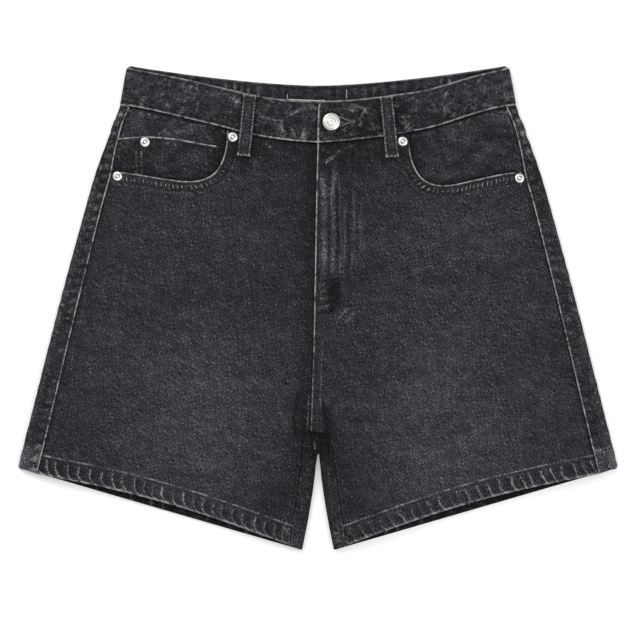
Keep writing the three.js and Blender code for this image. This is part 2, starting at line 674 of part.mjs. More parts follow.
function waistbandGeometry() {
  const heights = [1, 0.5, 0]; // shares of the way from the seam to the top edge
  const half = BAND / 2;
  const frontXs = [0, 0.06, 0.14, 0.24, 0.31, 0.36, 0.42, 0.5, 0.6, 0.7, 0.8, 0.9, 1];
  const foldXAt = (h) => lerp(BAND_FOLD.seamX, BAND_FOLD.topX, h) - FOLD_RADIUS;
  const front = (q, h, side) => {
    const endX = foldXAt(h);
    const startX = side > 0 ? centreFront(170) : -BAND_LAP.under;
    const x = side * lerp(startX, endX, q);
    const y = lerp(frontSeamY(x), frontTopY(x), h);
    return cell(x, y, bandLayer(x, y, side), half, half);
  };
  const back = (q, h, side) => {
    const x = foldXAt(h) * q;
    const rise = (line) => line.middle + (line.side - line.middle) * q ** line.bow;
    return cell(side * x, lerp(rise(BACK_SEAM), rise(BACK_TOP), h), half, half, half);
  };
  const turn = (h, side) => {
    const [upper, lower] = [front(1, h, side).p, back(1, h, side).p];
    return [...TURN].reverse().slice(1, -1).map((angle) =>
      cell(
        upper.x + side * FOLD_RADIUS * Math.cos(angle),
        lerp(lower.y, upper.y, (1 + Math.sin(angle)) / 2),
        half + FOLD_RADIUS + FOLD_RADIUS * Math.sin(angle),
        half,
        half,
      ),
    );
  };
  const rows = heights.map((h) => [
    ...frontXs.map((q) => front(q, h, 1)),
    ...turn(h, 1),
    ...[...ACROSS].reverse().map((q) => back(q, h, 1)),
    ...ACROSS.slice(1).map((q) => back(q, h, -1)),
    ...turn(h, -1).reverse(),
    ...[...frontXs].reverse().map((q) => front(q, h, -1)),
  ]);
  let band = solidOf(wallOver(rows, -1));
  const lapFloor = bandLayer(BUTTON.x, BUTTON.y, 1) - half - SEAM_GAP / 2;
  const eye = new THREE.CylinderGeometry(BUTTONHOLE.eye, BUTTONHOLE.eye, TALL, 16)
    .rotateX(Math.PI / 2)
    .translate(BUTTON.x, BUTTON.y, lapFloor + TALL / 2);
  const slotEnd = BUTTONHOLE.end - BUTTON.x;
  const slot = new THREE.BoxGeometry(slotEnd, BUTTONHOLE.slot, TALL).translate(
    BUTTON.x + slotEnd / 2,
    BUTTON.y,
    lapFloor + TALL / 2,
  );
  band = band.subtract(solidOf(eye)).subtract(solidOf(slot));
  for (const loop of BACK_LOOPS) {
    const recess = new THREE.BoxGeometry(
      BACK_LOOP.width + 2 * SEAM_GAP,
      loop.length + 2 * SEAM_GAP,
      BACK_LOOP.depth + SEAM_GAP + RECESS_TALL,
    )
      .translate(0, 0, (BACK_LOOP.depth + SEAM_GAP - RECESS_TALL) / 2)
      .rotateZ(loop.turn)
      .translate(loop.x, loop.y, 0);
    band = band.subtract(solidOf(recess));
  }
  return geometryOf(band);
}

// Belt loops

// A line across the back at x, and its slope there
const backLine = (line, x) => lerp(line.middle, line.side, (Math.abs(x) / BAND_FOLD.seamX) ** line.bow);
const backSlope = (line, x) => (backLine(line, Math.abs(x) + 5) - backLine(line, Math.abs(x) - 5)) / 10;
const BACK_LOOPS = [
  { name: "belt_loop_back_middle", x: 0 },
  { name: "belt_loop_back_left", x: BACK_LOOP.sideX },
  { name: "belt_loop_back_right", x: -BACK_LOOP.sideX },
].map((loop) => {
  const foot = backLine(BACK_SEAM, loop.x) + BACK_LOOP.footClear;
  const top = backLine(BACK_TOP, loop.x) - BACK_LOOP.topClear;
  const turn = Math.sign(loop.x) * Math.atan(backSlope(BACK_TOP, loop.x));
  const length = top - foot - Math.abs(Math.sin(turn)) * BACK_LOOP.width;
  return { ...loop, y: (foot + top) / 2, length, turn };
});

// A back loop is pressed flush into the band's underside, a plain strip with rounded corners
function backLoopGeometry(length) {
  const [w, h, r] = [BACK_LOOP.width / 2, length / 2, BACK_LOOP.corner];
  const shape = new THREE.Shape()
    .moveTo(-w + r, -h)
    .lineTo(w - r, -h)
    .absarc(w - r, -h + r, r, -Math.PI / 2, 0)
    .lineTo(w, h - r)
    .absarc(w - r, h - r, r, 0, Math.PI / 2)
    .lineTo(-w + r, h)
    .absarc(-w + r, h - r, r, Math.PI / 2, Math.PI)
    .lineTo(-w, -h + r)
    .absarc(-w + r, -h + r, r, Math.PI, Math.PI * 1.5);
  return new THREE.ExtrudeGeometry(shape, { depth: BACK_LOOP.depth, bevelEnabled: false, curveSegments: 3 });
}

// A front loop lies on the band, steps down over its seam and ends on the front panel
function frontLoopGeometry(side) {
  const topY = frontTopY(FRONT_LOOP.topX * side) - 0.6;
  const seamY = frontSeamY(FRONT_LOOP.footX * side);
  const footY = FRONT_LOOP.footY + sag(FRONT_LOOP.footX * side) * 0.5;
  const lengthY = topY - footY;
  const lean = Math.atan2(FRONT_LOOP.footX - FRONT_LOOP.topX, lengthY);
  const rows = spread(0, 1, 12).map((s) => {
    const middleX = lerp(FRONT_LOOP.topX, FRONT_LOOP.footX, s);
    const middleY = lerp(topY, footY, s);
    const onBand = bandLayer(middleX * side, middleY, side) + BAND / 2;
    const onPanel = frontPanel(middleX * side, middleY, side) + DENIM / 2;
    const down = ease((seamY - middleY - 1) / 9);
    const stand = FRONT_LOOP.stand * Math.sin(Math.PI * Math.min(s / 0.7, 1)) ** 2;
    const z = lerp(onBand, onPanel, down) + SEAM_GAP + LOOP / 2 + stand + 0.25;
    return [-0.5, 0, 0.5].map((across) => {
      const off = across * FRONT_LOOP.width;
      const x = (middleX + off * Math.cos(lean)) * side;
      return cell(x, middleY + off * Math.sin(lean), z, LOOP / 2, LOOP / 2);
    });
  });
  return wallOver(rows, -side);
}

// Label: a plain woven tab inside the back of the waistband
const labelGeometry = () =>
  new THREE.BoxGeometry(LABEL.width, LABEL.top - LABEL.foot, LABEL.thickness);

// Metal

function lathe(profile, sides) {
  const points = profile.map(([r, z]) => new THREE.Vector2(r, z));
  return new THREE.LatheGeometry(points, sides).rotateX(Math.PI / 2);
}

const rivetGeometry = () =>
  lathe(
    [
      [0, 0],
      [RIVET.radius - 0.3, 0],
      [RIVET.radius, 0.35],
      [RIVET.radius - 0.3, 0.85],
      [RIVET.radius - 1.2, 1.2],
      [RIVET.radius - 2.6, 0.95],
      [1.3, 1.3],
      [0.6, RIVET.height],
      [0, RIVET.height],
    ],
    RIVET.sides,
  );

// The button's head on its shank, which goes down through the eye to the band's under end
function buttonGeometry(shankLength) {
  const r = BUTTON.radius;
  return lathe(
    [
      [0, -shankLength],
      [BUTTON.shank, -shankLength],
      [BUTTON.shank, 0],
      [r - 1.2, 0],
      [r - 0.2, 0.5],
      [r, 1.1],
      [r - 0.3, 1.8],
      [r - 1.1, 2.3],
      [r - 2.0, 2.25],
      [r - 2.6, 1.9],
      [r - 4.2, 2.0],
      [r - 4.6, 2.25],
      [0, 2.4],
    ],
    BUTTON.sides,
  );
}

// Assembly

const shorts = new THREE.Group();
const denim = new THREE.MeshStandardMaterial(DENIM_FINISH);
const metal = new THREE.MeshStandardMaterial(METAL_FINISH);
const tape = new THREE.MeshStandardMaterial({ color: 0xe9e7e2, roughness: 0.8, metalness: 0 });

function add(name, geometry, material, place = () => {}) {
  const mesh = new THREE.Mesh(geometry, material);
  mesh.name = name;
  place(mesh);
  shorts.add(mesh);
}

for (const side of [1, -1]) {
  const name = sideName(side);
  add(`front_${name}`, frontPanelGeometry(side), denim);
  add(`back_${name}`, backPanelGeometry(side), denim);
  add(`yoke_${name}`, yokeGeometry(side), denim);
  add(`pocket_facing_${name}`, facingGeometry(side), denim);
  add(`belt_loop_front_${name}`, frontLoopGeometry(side), denim);
}
add("coin_pocket", coinPocketGeometry(), denim);
add("waistband", waistbandGeometry(), denim);
for (const loop of BACK_LOOPS)
  add(loop.name, backLoopGeometry(loop.length), denim, (mesh) => {
    mesh.rotation.z = loop.turn;
    mesh.position.set(loop.x, loop.y, 0);
  });
add("label", labelGeometry(), tape, (mesh) =>
  mesh.position.set(0, (LABEL.foot + LABEL.top) / 2, BAND + SEAM_GAP + LABEL.thickness / 2),
);

// A rivet sits square on its panel
for (const rivet of RIVETS) {
  const side = Math.sign(rivet.x);
  const onCoin = rivet.name === "rivet_coin_pocket";
  const lift = onCoin ? DENIM + SEAM_GAP - FACING_DROP : 0;
  const height = (x, y) => frontPanel(x, y, side) + lift;
  const normal = new THREE.Vector3(
    height(rivet.x - 4, rivet.y) - height(rivet.x + 4, rivet.y),
    height(rivet.x, rivet.y - 4) - height(rivet.x, rivet.y + 4),
    8,
  ).normalize();
  const seat = new THREE.Vector3(rivet.x, rivet.y, height(rivet.x, rivet.y));
  add(rivet.name, rivetGeometry(), metal, (mesh) => {
    mesh.quaternion.setFromUnitVectors(new THREE.Vector3(0, 0, 1), normal);
    mesh.position.copy(seat).addScaledVector(normal, DENIM / 2 + RIVET.clear);
  });
}

const lapTop = bandLayer(BUTTON.x, BUTTON.y, 1) + BAND / 2;
const underTop = bandLayer(BUTTON.x, BUTTON.y, -1) + BAND / 2;
const headZ = lapTop + SEAM_GAP;
add("button", buttonGeometry(headZ - underTop - SEAM_GAP), metal, (mesh) =>
  mesh.position.set(BUTTON.x, BUTTON.y, headZ),
);

export default shorts;
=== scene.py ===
import math

import bpy
import numpy as np
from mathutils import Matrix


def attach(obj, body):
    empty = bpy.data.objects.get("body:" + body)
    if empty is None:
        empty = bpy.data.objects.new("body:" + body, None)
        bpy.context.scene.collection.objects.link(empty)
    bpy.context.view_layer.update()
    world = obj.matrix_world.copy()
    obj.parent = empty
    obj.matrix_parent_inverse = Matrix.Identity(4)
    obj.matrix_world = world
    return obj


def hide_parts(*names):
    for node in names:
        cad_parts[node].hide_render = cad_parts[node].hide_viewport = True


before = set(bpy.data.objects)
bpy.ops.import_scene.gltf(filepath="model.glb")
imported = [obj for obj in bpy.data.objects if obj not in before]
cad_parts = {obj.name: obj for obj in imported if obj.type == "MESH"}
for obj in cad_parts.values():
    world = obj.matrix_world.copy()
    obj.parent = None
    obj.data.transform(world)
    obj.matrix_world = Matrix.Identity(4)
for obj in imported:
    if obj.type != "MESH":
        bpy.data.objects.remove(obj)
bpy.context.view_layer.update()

# Camera
# Straight above the garment, which lies on its back, and far off with a long lens.
# The picture's 640 pixels take in 608 mm of the surface.
MM = 0.001
PICTURE_SPAN = 608.0
PICTURE_CENTRE = (1.9, -11.2)
CAMERA_HEIGHT = 6000.0
lens = bpy.data.cameras.new("camera")
lens.sensor_width = 36
lens.lens = lens.sensor_width * CAMERA_HEIGHT / PICTURE_SPAN
lens.clip_end = 50
camera = bpy.data.objects.new("camera", lens)
camera.location = (PICTURE_CENTRE[0] * MM, PICTURE_CENTRE[1] * MM, CAMERA_HEIGHT * MM)
bpy.context.collection.objects.link(camera)
bpy.context.scene.camera = camera

# Front panels
# Two panels of washed charcoal denim, cut with a scooped pocket mouth, felled to the back at the side and
# inner leg, and turned up twice at the hem. The wearer's left one laps over the right one at the fly.
DENIM = 1.2
SEAM_GAP = 0.3
FOLD_RADIUS = 3.5
CROWN = 5.0
CROWN_RUN = 45.0
HEM_EXTRA = 1.4
HEM_DEPTH = 18.2
HEM_ARCH = 7.0
SADDLE_Y = -137.0
CROTCH = (-7.0, -117.0)
HEM_CORNER = (284.3, -152.0)
HEM_SLOPE = 0.2875
INSEAM_HEM = (26.1, -225.4)
SAG = {"depth": 4.6, "middle": 105.0, "reach": 40.0}
FLY_LAP = {"foot": -2.6, "lift": 0.8, "flat": 34.0, "run": 30.0, "under": 28.0}

# y, the folded edge's x, how far the back comes round to the front, and that strip's lean
SIDE = [
    (193.4, 186.7, 8.6, 0.19),
    (178.4, 191.9, 7.1, 0.27),
    (153.2, 201.4, 9.5, 0.2875),
    (129.4, 210.0, 13.3, 0.2875),
    (99.0, 219.0, 13.8, 0.2875),
    (7.8, 243.7, 15.7, 0.2875),
    (-113.8, 274.6, 17.6, 0.2875),
    (-152.0, 284.3, 17.8, 0.2875),
]
# x from the middle, the waistband's seam and its top edge
FRONT_BAND = [
    (0, 156.9, 196.3),
    (30, 159.4, 197.7),
    (59, 163.8, 201.8),
    (71, 166.6, 204.6),
    (93, 172.5, 209.6),
    (116, 178.0, 215.1),
    (142, 184.2, 220.6),
    (166, 189.6, 225.3),
    (187, 193.4, 229.4),
]
POCKET_MOUTH = [
    (85.5, 172.0), (87.2, 153.2), (91.0, 139.5), (98.5, 128.0), (110.5, 121.8),
    (126.0, 120.4), (148.0, 123.0), (172.0, 127.0), (197.5, 130.5),
]
MOUTH_END = (190.0, 132.5)
# y and x of the centre-front line
CENTRE_FRONT = [
    (200.0, -0.7), (155.0, -0.5), (122.0, -1.4), (40.0, -2.9), (-35.0, -4.3), (-78.0, -5.7), (-117.0, -7.0),
]
# Where the inner fold begins below the fork
LEG_TOP = -139.5
# The inner leg: the fold's x and y, the inseam's x and y on the front, and the turn of the cross direction
INNER_LEG = [
    (2.9, -152.0, 15.2, -147.5, 14),
    (4.3, -165.0, 16.9, -161.4, 14),
    (8.1, -190.0, 20.3, -186.4, 14),
    (11.9, -211.0, 23.9, -207.5, 14),
    (15.7, -229.2, INSEAM_HEM[0], INSEAM_HEM[1], 14),
]
FORK = {
    1: [
        (0.15, -137.0, -6.85, -117.0, 90),
        (1.3, -137.7, 4.0, -118.0, 60),
        (1.9, -139.5, 9.5, -123.5, 32),
        (2.2, -145.0, 13.5, -134.0, 18),
    ],
    -1: [
        (0.15, -137.0, 7.15, -117.0, 90),
        (1.3, -137.7, 11.5, -118.5, 60),
        (1.9, -139.5, 14.0, -124.0, 32),
        (2.2, -145.0, 14.8, -134.0, 18),
    ],
}
# The main folds: both ends, how high they stand (troughs below zero) and half their width
FRONT_FOLDS = [
    (-15.0, -74, -14.5, -126, -1.5, 5),
    (8.6, -84, 10.5, -142, -1.4, 5),
    (19.0, 140, 15.0, 32, 0.9, 4),
    (32.0, 128, 30.0, 40, 0.7, 5),
    (22.0, 20, 70.0, 52, -0.8, 9),
    (40.0, -52, 150.0, -22, 0.8, 14),
    (-34.0, -60, -130.0, -20, 0.8, 14),
    (-28.0, -168, -60.0, -205, -0.9, 8),
    (30.0, -178, 62.0, -207, -0.9, 8),
]
# Lesser creases, with how far each is rubbed pale on its top
FRONT_CREASES = [
    (2.9, 134, 23.8, 152, 0.7, 1.7, 0.6),
    (24.0, 152, 36.0, 154, 0.5, 1.6, 0.3),
    (-54.0, 159, -40.0, 149, 0.6, 1.5, 0.5),
    (-42.0, 149, -18.0, 143, 0.6, 1.8, 0.4),
    (-36.0, 154, -14.0, 149, -0.5, 2.0, 0.0),
    (-63.0, 141, -54.0, 133, 0.5, 1.3, 0.5),
    (-58.0, 146, -48.0, 138, 0.5, 1.4, 0.35),
    (61.0, 141, 54.0, 131, 0.5, 1.4, 0.35),
    (5.0, -86, 13.0, -94, 0.5, 1.3, 0.45),
    (42.0, 148, 56.0, 138, 0.4, 2.0, 0.2),
    (17.0, 150, 25.0, 146, 0.5, 1.6, 0.35),
    (3.0, 150, 14.0, 147, 0.4, 1.5, 0.35),
    (28.5, 38, 11.4, 28, 0.5, 1.5, 0.35),
    (30.0, 2, 16.0, -13, 0.4, 2.0, 0.35),
    (36.0, -2, 24.0, -16, 0.3, 1.6, 0.3),
    (70.0, 61.5, 92.0, 55.5, 0.4, 1.6, 0.4),
    (56.0, 90, 120.0, 70, 0.5, 9, 0.0),
    (62.0, 36, 170.0, 60, 0.5, 8, 0.1),
    (70.0, 18, 190.0, 40, -0.5, 7, 0.0),
    (60.0, -10, 205.0, 12, 0.5, 9, 0.1),
    (52.0, -34, 120.0, -28, 0.35, 5, 0.15),
    (24.0, -60, 110.0, -64, -0.5, 9, 0.0),
    (30.0, -92, 190.0, -96, 0.4, 12, 0.0),
    (-60.0, 92, -130.0, 80, 0.4, 9, 0.0),
    (-52.0, 38, -170.0, 54, 0.5, 10, 0.1),
    (-48.0, 8, -180.0, 16, -0.5, 8, 0.0),
    (-40.0, -34, -190.0, -44, 0.4, 12, 0.0),
    (-28.0, -96, -150.0, -92, -0.4, 11, 0.0),
    (-66.0, 143, -52.0, 118, 0.6, 3.0, 0.25),
    (-71.0, 143, -74.0, 122, -0.5, 3.0, 0.0),
    (70.0, 143, 60.0, 120, 0.5, 3.0, 0.2),
    (74.0, 142, 80.0, 120, -0.5, 3.0, 0.0),
    (-24.0, -150, -34.0, -196, -0.6, 4.0, 0.0),
    (25.0, -152, 34.0, -200, -0.6, 4.0, 0.0),
]
# Sharp folds where the cloth gathers at the fork, drawn only as painted shade: both ends, how dark, and half
# width
FORK_FOLDS = [
    (-18.6, -76, -23.6, -108, 0.75, 1.5),
    (-23.6, -98, -21.0, -124, 1.1, 1.6),
    (-22.0, -120, -13.0, -115, 0.8, 1.5),
    (3.6, -86, 9.2, -116, 0.9, 1.5),
    (8.4, -106, 10.6, -152, 1.2, 1.5),
    (-16.0, -114, 7.0, -121, 0.8, 1.6),
]
# Worn ridges down the fly's topstitched strip: x, upper and lower end, half width, height, rubbing; the
# rubbing also paints light on the ridges and, below zero, paints shade in the troughs
FLY_RIDGES = [
    (5.2, 129.0, 30.0, 3.4, 0.35, 0.6),
    (14.4, 138.0, 30.0, 2.6, 0.35, 0.46),
    (20.9, 120.0, 31.0, 1.2, 0.25, 0.42),
    (25.8, 98.0, 30.0, 1.6, 0.25, 0.36),
    (33.2, 112.0, 38.0, 1.6, 0.25, 0.3),
    (41.0, 100.0, 40.0, 3.0, 0.25, 0.22),
    (10.0, 128.0, 34.0, 0.8, -0.5, -0.4),
    (18.0, 118.0, 44.0, 1.0, -0.6, -0.45),
    (23.2, 112.0, 40.0, 0.8, -0.4, -0.3),
    (29.6, 120.0, 40.0, 1.1, -0.4, -0.35),
    (37.0, 112.0, 38.0, 1.0, -0.3, -0.25),
]
# Cross puckers in the fly and the bar below it: x, y, half length, half width, height, rubbing, which below
# zero paints shade in the pucker's hollow
FLY_PUCKERS = [
    (5.5, 103.8, 4.5, 1.6, -0.5, -0.5),
    (5.5, 78.0, 4.5, 1.6, -0.5, -0.5),
    (5.5, 64.0, 4.5, 1.2, -0.4, -0.35),
    (4.0, 22.0, 4.0, 1.3, 0.45, 0.3),
    (4.0, 15.5, 4.0, 1.2, 0.45, 0.3),
    (4.5, 9.5, 4.5, 1.2, 0.45, 0.36),
    (5.5, 1.0, 6.0, 1.4, 0.5, 0.42),
    (7.0, -3.2, 7.5, 1.1, -0.9, -0.6),
]


def ease(share):
    share = np.clip(share, 0.0, 1.0)
    return share * share * (3 - 2 * share)


def through(pairs):
    """A smooth function through (value, result) pairs, straight beyond its ends."""
    at, to = np.array(sorted(pairs), float).T
    before, after = np.maximum(np.arange(len(at)) - 1, 0), np.minimum(np.arange(len(at)) + 1, len(at) - 1)
    slope = (to[after] - to[before]) / (at[after] - at[before])

    def result(value):
        value = np.asarray(value, float)
        i = np.clip(np.searchsorted(at, value) - 1, 0, len(at) - 2)
        run = at[i + 1] - at[i]
        s = (value - at[i]) / run
        t = np.clip(s, 0, 1)
        inside = to[i] + (to[i + 1] - to[i]) * ease(t)
        inside = inside + run * t * (1 - t) * ((1 - t) * slope[i] - t * slope[i + 1])
        below = np.minimum(s, 0) * run * slope[i]
        above = np.maximum(s - 1, 0) * run * slope[i + 1]
        return inside + below + above

    return result


def drift(seed, *places):
    """Smooth noise from -1 to 1 over one or two coordinates, given in units of its own grain."""
    table = np.random.default_rng(seed).uniform(-1, 1, (256, 256))
    x = np.asarray(places[0], float)
    y = np.asarray(places[1], float) if len(places) > 1 else np.zeros_like(x)
    x, y = np.broadcast_arrays(x, y)
    i, j = np.floor(x).astype(int), np.floor(y).astype(int)
    fx, fy = ease(x - i), ease(y - j)
    corner = lambda a, b: table[(i + a) % 256, (j + b) % 256]
    low = corner(0, 0) * (1 - fx) + corner(1, 0) * fx
    high = corner(0, 1) * (1 - fx) + corner(1, 1) * fx
    return low * (1 - fy) + high * fy


def beside(line, x, y):
    """For points in plan: how far along a line the nearest place on it is, and how far off to its left."""
    line = np.asarray(line, float)
    start, step = line[:-1], np.diff(line, axis=0)
    length = np.maximum(np.hypot(step[:, 0], step[:, 1]), 1e-9)
    begun = np.concatenate([[0.0], np.cumsum(length)[:-1]])
    x, y = np.broadcast_arrays(np.asarray(x, float), np.asarray(y, float))
    rx, ry = x[..., None] - start[:, 0], y[..., None] - start[:, 1]
    t = np.clip((rx * step[:, 0] + ry * step[:, 1]) / length**2, 0, 1)
    dx, dy = rx - t * step[:, 0], ry - t * step[:, 1]
    away = np.hypot(dx, dy)
    nearest = away.argmin(-1)[..., None]
    take = lambda values: np.take_along_axis(values, nearest, -1)[..., 0]
    left = np.where(take(step[:, 0] * dy - step[:, 1] * dx) >= 0, 1.0, -1.0)
    return take(begun + t * length), take(away) * left


def bell(off, width):
    return np.exp(-((off / width) ** 2))


def between(value, low, high, soft):
    return ease((value - low) / soft + 0.5) * ease((high - value) / soft + 0.5)


def crease(x, y, row):
    """How much of a straight crease there is at a point: 1 on its crest, fading at both ends."""
    x0, y0, x1, y1, width = row[0], row[1], row[2], row[3], row[5]
    length = math.hypot(x1 - x0, y1 - y0)
    along = ((x - x0) * (x1 - x0) + (y - y0) * (y1 - y0)) / length
    off = ((x - x0) * (y1 - y0) - (y - y0) * (x1 - x0)) / length
    return ease(np.minimum(along, length - along) / (length * 0.3)) * bell(off, width)


def fork_shade(x, y):
    """How much painted shade the folds at the fork put on a point."""
    return sum(row[4] * crease(x, y, row) for row in FORK_FOLDS)


def puckers(seed, along, pitch):
    """An uneven ripple along a seam, from 0 in its hollows to 1 on its crests."""
    wander = along + 0.45 * pitch * drift(seed, along / (2.3 * pitch))
    height = 0.65 + 0.35 * drift(seed + 1, along / (1.7 * pitch))
    return height * (0.5 + 0.5 * np.cos(2 * np.pi * wander / pitch))


side_fold = through([(row[0], row[1]) for row in SIDE])
side_wrap = through([(row[0], row[2]) for row in SIDE])
side_lean = through([(row[0], row[3]) for row in SIDE])
band_seam = through([(row[0], row[1]) for row in FRONT_BAND])
band_top = through([(row[0], row[2]) for row in FRONT_BAND])
centre_front = through(CENTRE_FRONT)
inner_fold = through([(LEG_TOP, 1.9)] + [(row[1], row[0]) for row in INNER_LEG])


def sag(x):
    return np.where(x > 0, -SAG["depth"] * bell(x - SAG["middle"], SAG["reach"]), 0.0)


def front_seam_y(x):
    return band_seam(np.abs(x)) + sag(x)


def side_seam(y):
    wrap = side_wrap(y)
    return side_fold(y) - wrap, y - wrap * side_lean(y)


def crown(x, y):
    from_side = side_fold(y) - np.abs(x)
    across = np.maximum(np.abs(x) - inner_fold(np.minimum(y, LEG_TOP)), 0)
    from_gap = np.where(y < SADDLE_Y, across, np.hypot(across, y - SADDLE_Y))
    return CROWN * ease((from_side - FOLD_RADIUS) / CROWN_RUN) * ease((from_gap - FOLD_RADIUS) / CROWN_RUN)


def top_layer(x, y):
    return DENIM / 2 + 2 * FOLD_RADIUS + crown(x, y)


def front_panel(x, y, side):
    near = 1 - ease((np.abs(x - centre_front(y)) - FLY_LAP["flat"]) / FLY_LAP["run"])
    opening = 0.45 + 0.55 * ease((y - FLY_LAP["foot"] + 20) / 40)
    folds = sum(row[4] * crease(x, y, row) for row in FRONT_FOLDS)
    return top_layer(x, y) + side * FLY_LAP["lift"] * near * opening + folds


def pocket_mouth(side, count=60):
    """The mouth's curve over one half of the garment, x counted away from the middle."""
    points = np.array(POCKET_MOUTH)
    points[:, 1] += sag(points[:, 0] * side)
    step = np.arange(len(points))
    fine = np.linspace(0, len(points) - 1, count)
    curve = np.stack([through(list(zip(step, points[:, k])))(fine) for k in (0, 1)], -1)
    keep = (curve[:, 1] < front_seam_y(curve[:, 0] * side) - 1.2) & (curve[:, 0] < MOUTH_END[0])
    return curve[keep]


def back_hem_y(x):
    return HEM_CORNER[1] - (HEM_CORNER[0] - x) * HEM_SLOPE


HEM_SEAM = side_seam(HEM_CORNER[1])


def front_hem_y(x):
    s = np.clip((x - INSEAM_HEM[0]) / (HEM_SEAM[0] - INSEAM_HEM[0]), 0, 1)
    inner = INSEAM_HEM[1] - back_hem_y(INSEAM_HEM[0])
    outer = HEM_SEAM[1] - back_hem_y(HEM_SEAM[0])
    return back_hem_y(x) + inner + (outer - inner) * s + HEM_ARCH * np.sin(np.pi * s)


def inseam_line(side):
    return np.array([(row[2], row[3]) for row in FORK[side] + INNER_LEG])


def side_seam_line(low, high, count=40):
    y = np.linspace(high, low, count)
    return np.stack(side_seam(y), -1)


def hem_line():
    x = np.linspace(INSEAM_HEM[0], HEM_SEAM[0], 50)
    return np.stack([x, front_hem_y(x)], -1)


# How a hem ropes: its puckers lean along the edge at the fold and stand upright at the stitching. All of
# them lean the same way, towards the wearer's left, and more so on the right leg.
ROPING = {"pitch": 10.0, "turn": 3.8, "lean": {1: -5.0, -1: 10.0}}


def roping(seed, along, up, side):
    """A hem's twisted puckers: their count along the edge, how strongly each is rubbed, and their swell."""
    place = along - ROPING["lean"][side] * (1 - np.exp(-up / ROPING["turn"]))
    place = place + 2.6 * drift(seed, along / 21) + 1.5 * drift(seed + 4, along / 9)
    place = place + 1.1 * drift(seed + 2, up / 6, along / 12)
    count = place / ROPING["pitch"]
    phase = count % 1.0
    swell = np.where(phase < 0.25, ease(phase / 0.25), 1 - ease((phase - 0.25) / 0.75))
    strength = 0.56 + 0.34 * drift(seed + 3, along / 11, up / 9) + 0.16 * drift(seed + 5, along / 43)
    return count, strength * between(up, -2, 14.5, 3), swell


# The worn beads between the pocket mouth's two rows: pitch, slant, distance from the edge and half width
MOUTH_BEADS = {"pitch": 4.1, "slant": 0.35, "off": 5.9, "half_width": 2.0}


def front_ropes(x, y, side):
    """Worn crests finer than the grid, as a count and a strength: hem puckers and beads at the mouth."""
    along, up = beside(hem_line(), x, y)
    count, rub, _ = roping(31 + side, along, up, side)
    rub = rub * (0.35 + 0.65 * ease((along - 4) / 26))
    along, off = beside(pocket_mouth(side), x, y)
    off = -off
    beads = (along + MOUTH_BEADS["slant"] * off + 0.9 * drift(64 + side, along / 9)) / MOUTH_BEADS["pitch"]
    worn = bell(off - MOUTH_BEADS["off"], MOUTH_BEADS["half_width"]) * ease((along - 18) / 30)
    worn = worn * np.clip(0.85 + 0.5 * drift(66 + side, along / 12), 0, 1.3)
    at_mouth = np.abs(off - MOUTH_BEADS["off"]) < 3 * MOUTH_BEADS["half_width"]
    return np.where(at_mouth, beads, count), np.where(at_mouth, worn, rub)


def broken(seed, along, grain=3.2):
    """How strongly an abraded line shows along its way: uneven, with bare stretches between beads."""
    return np.clip(0.72 + 0.34 * drift(seed, along / grain) + 0.3 * drift(seed + 1, along / 1.3), 0.15, 1.25)


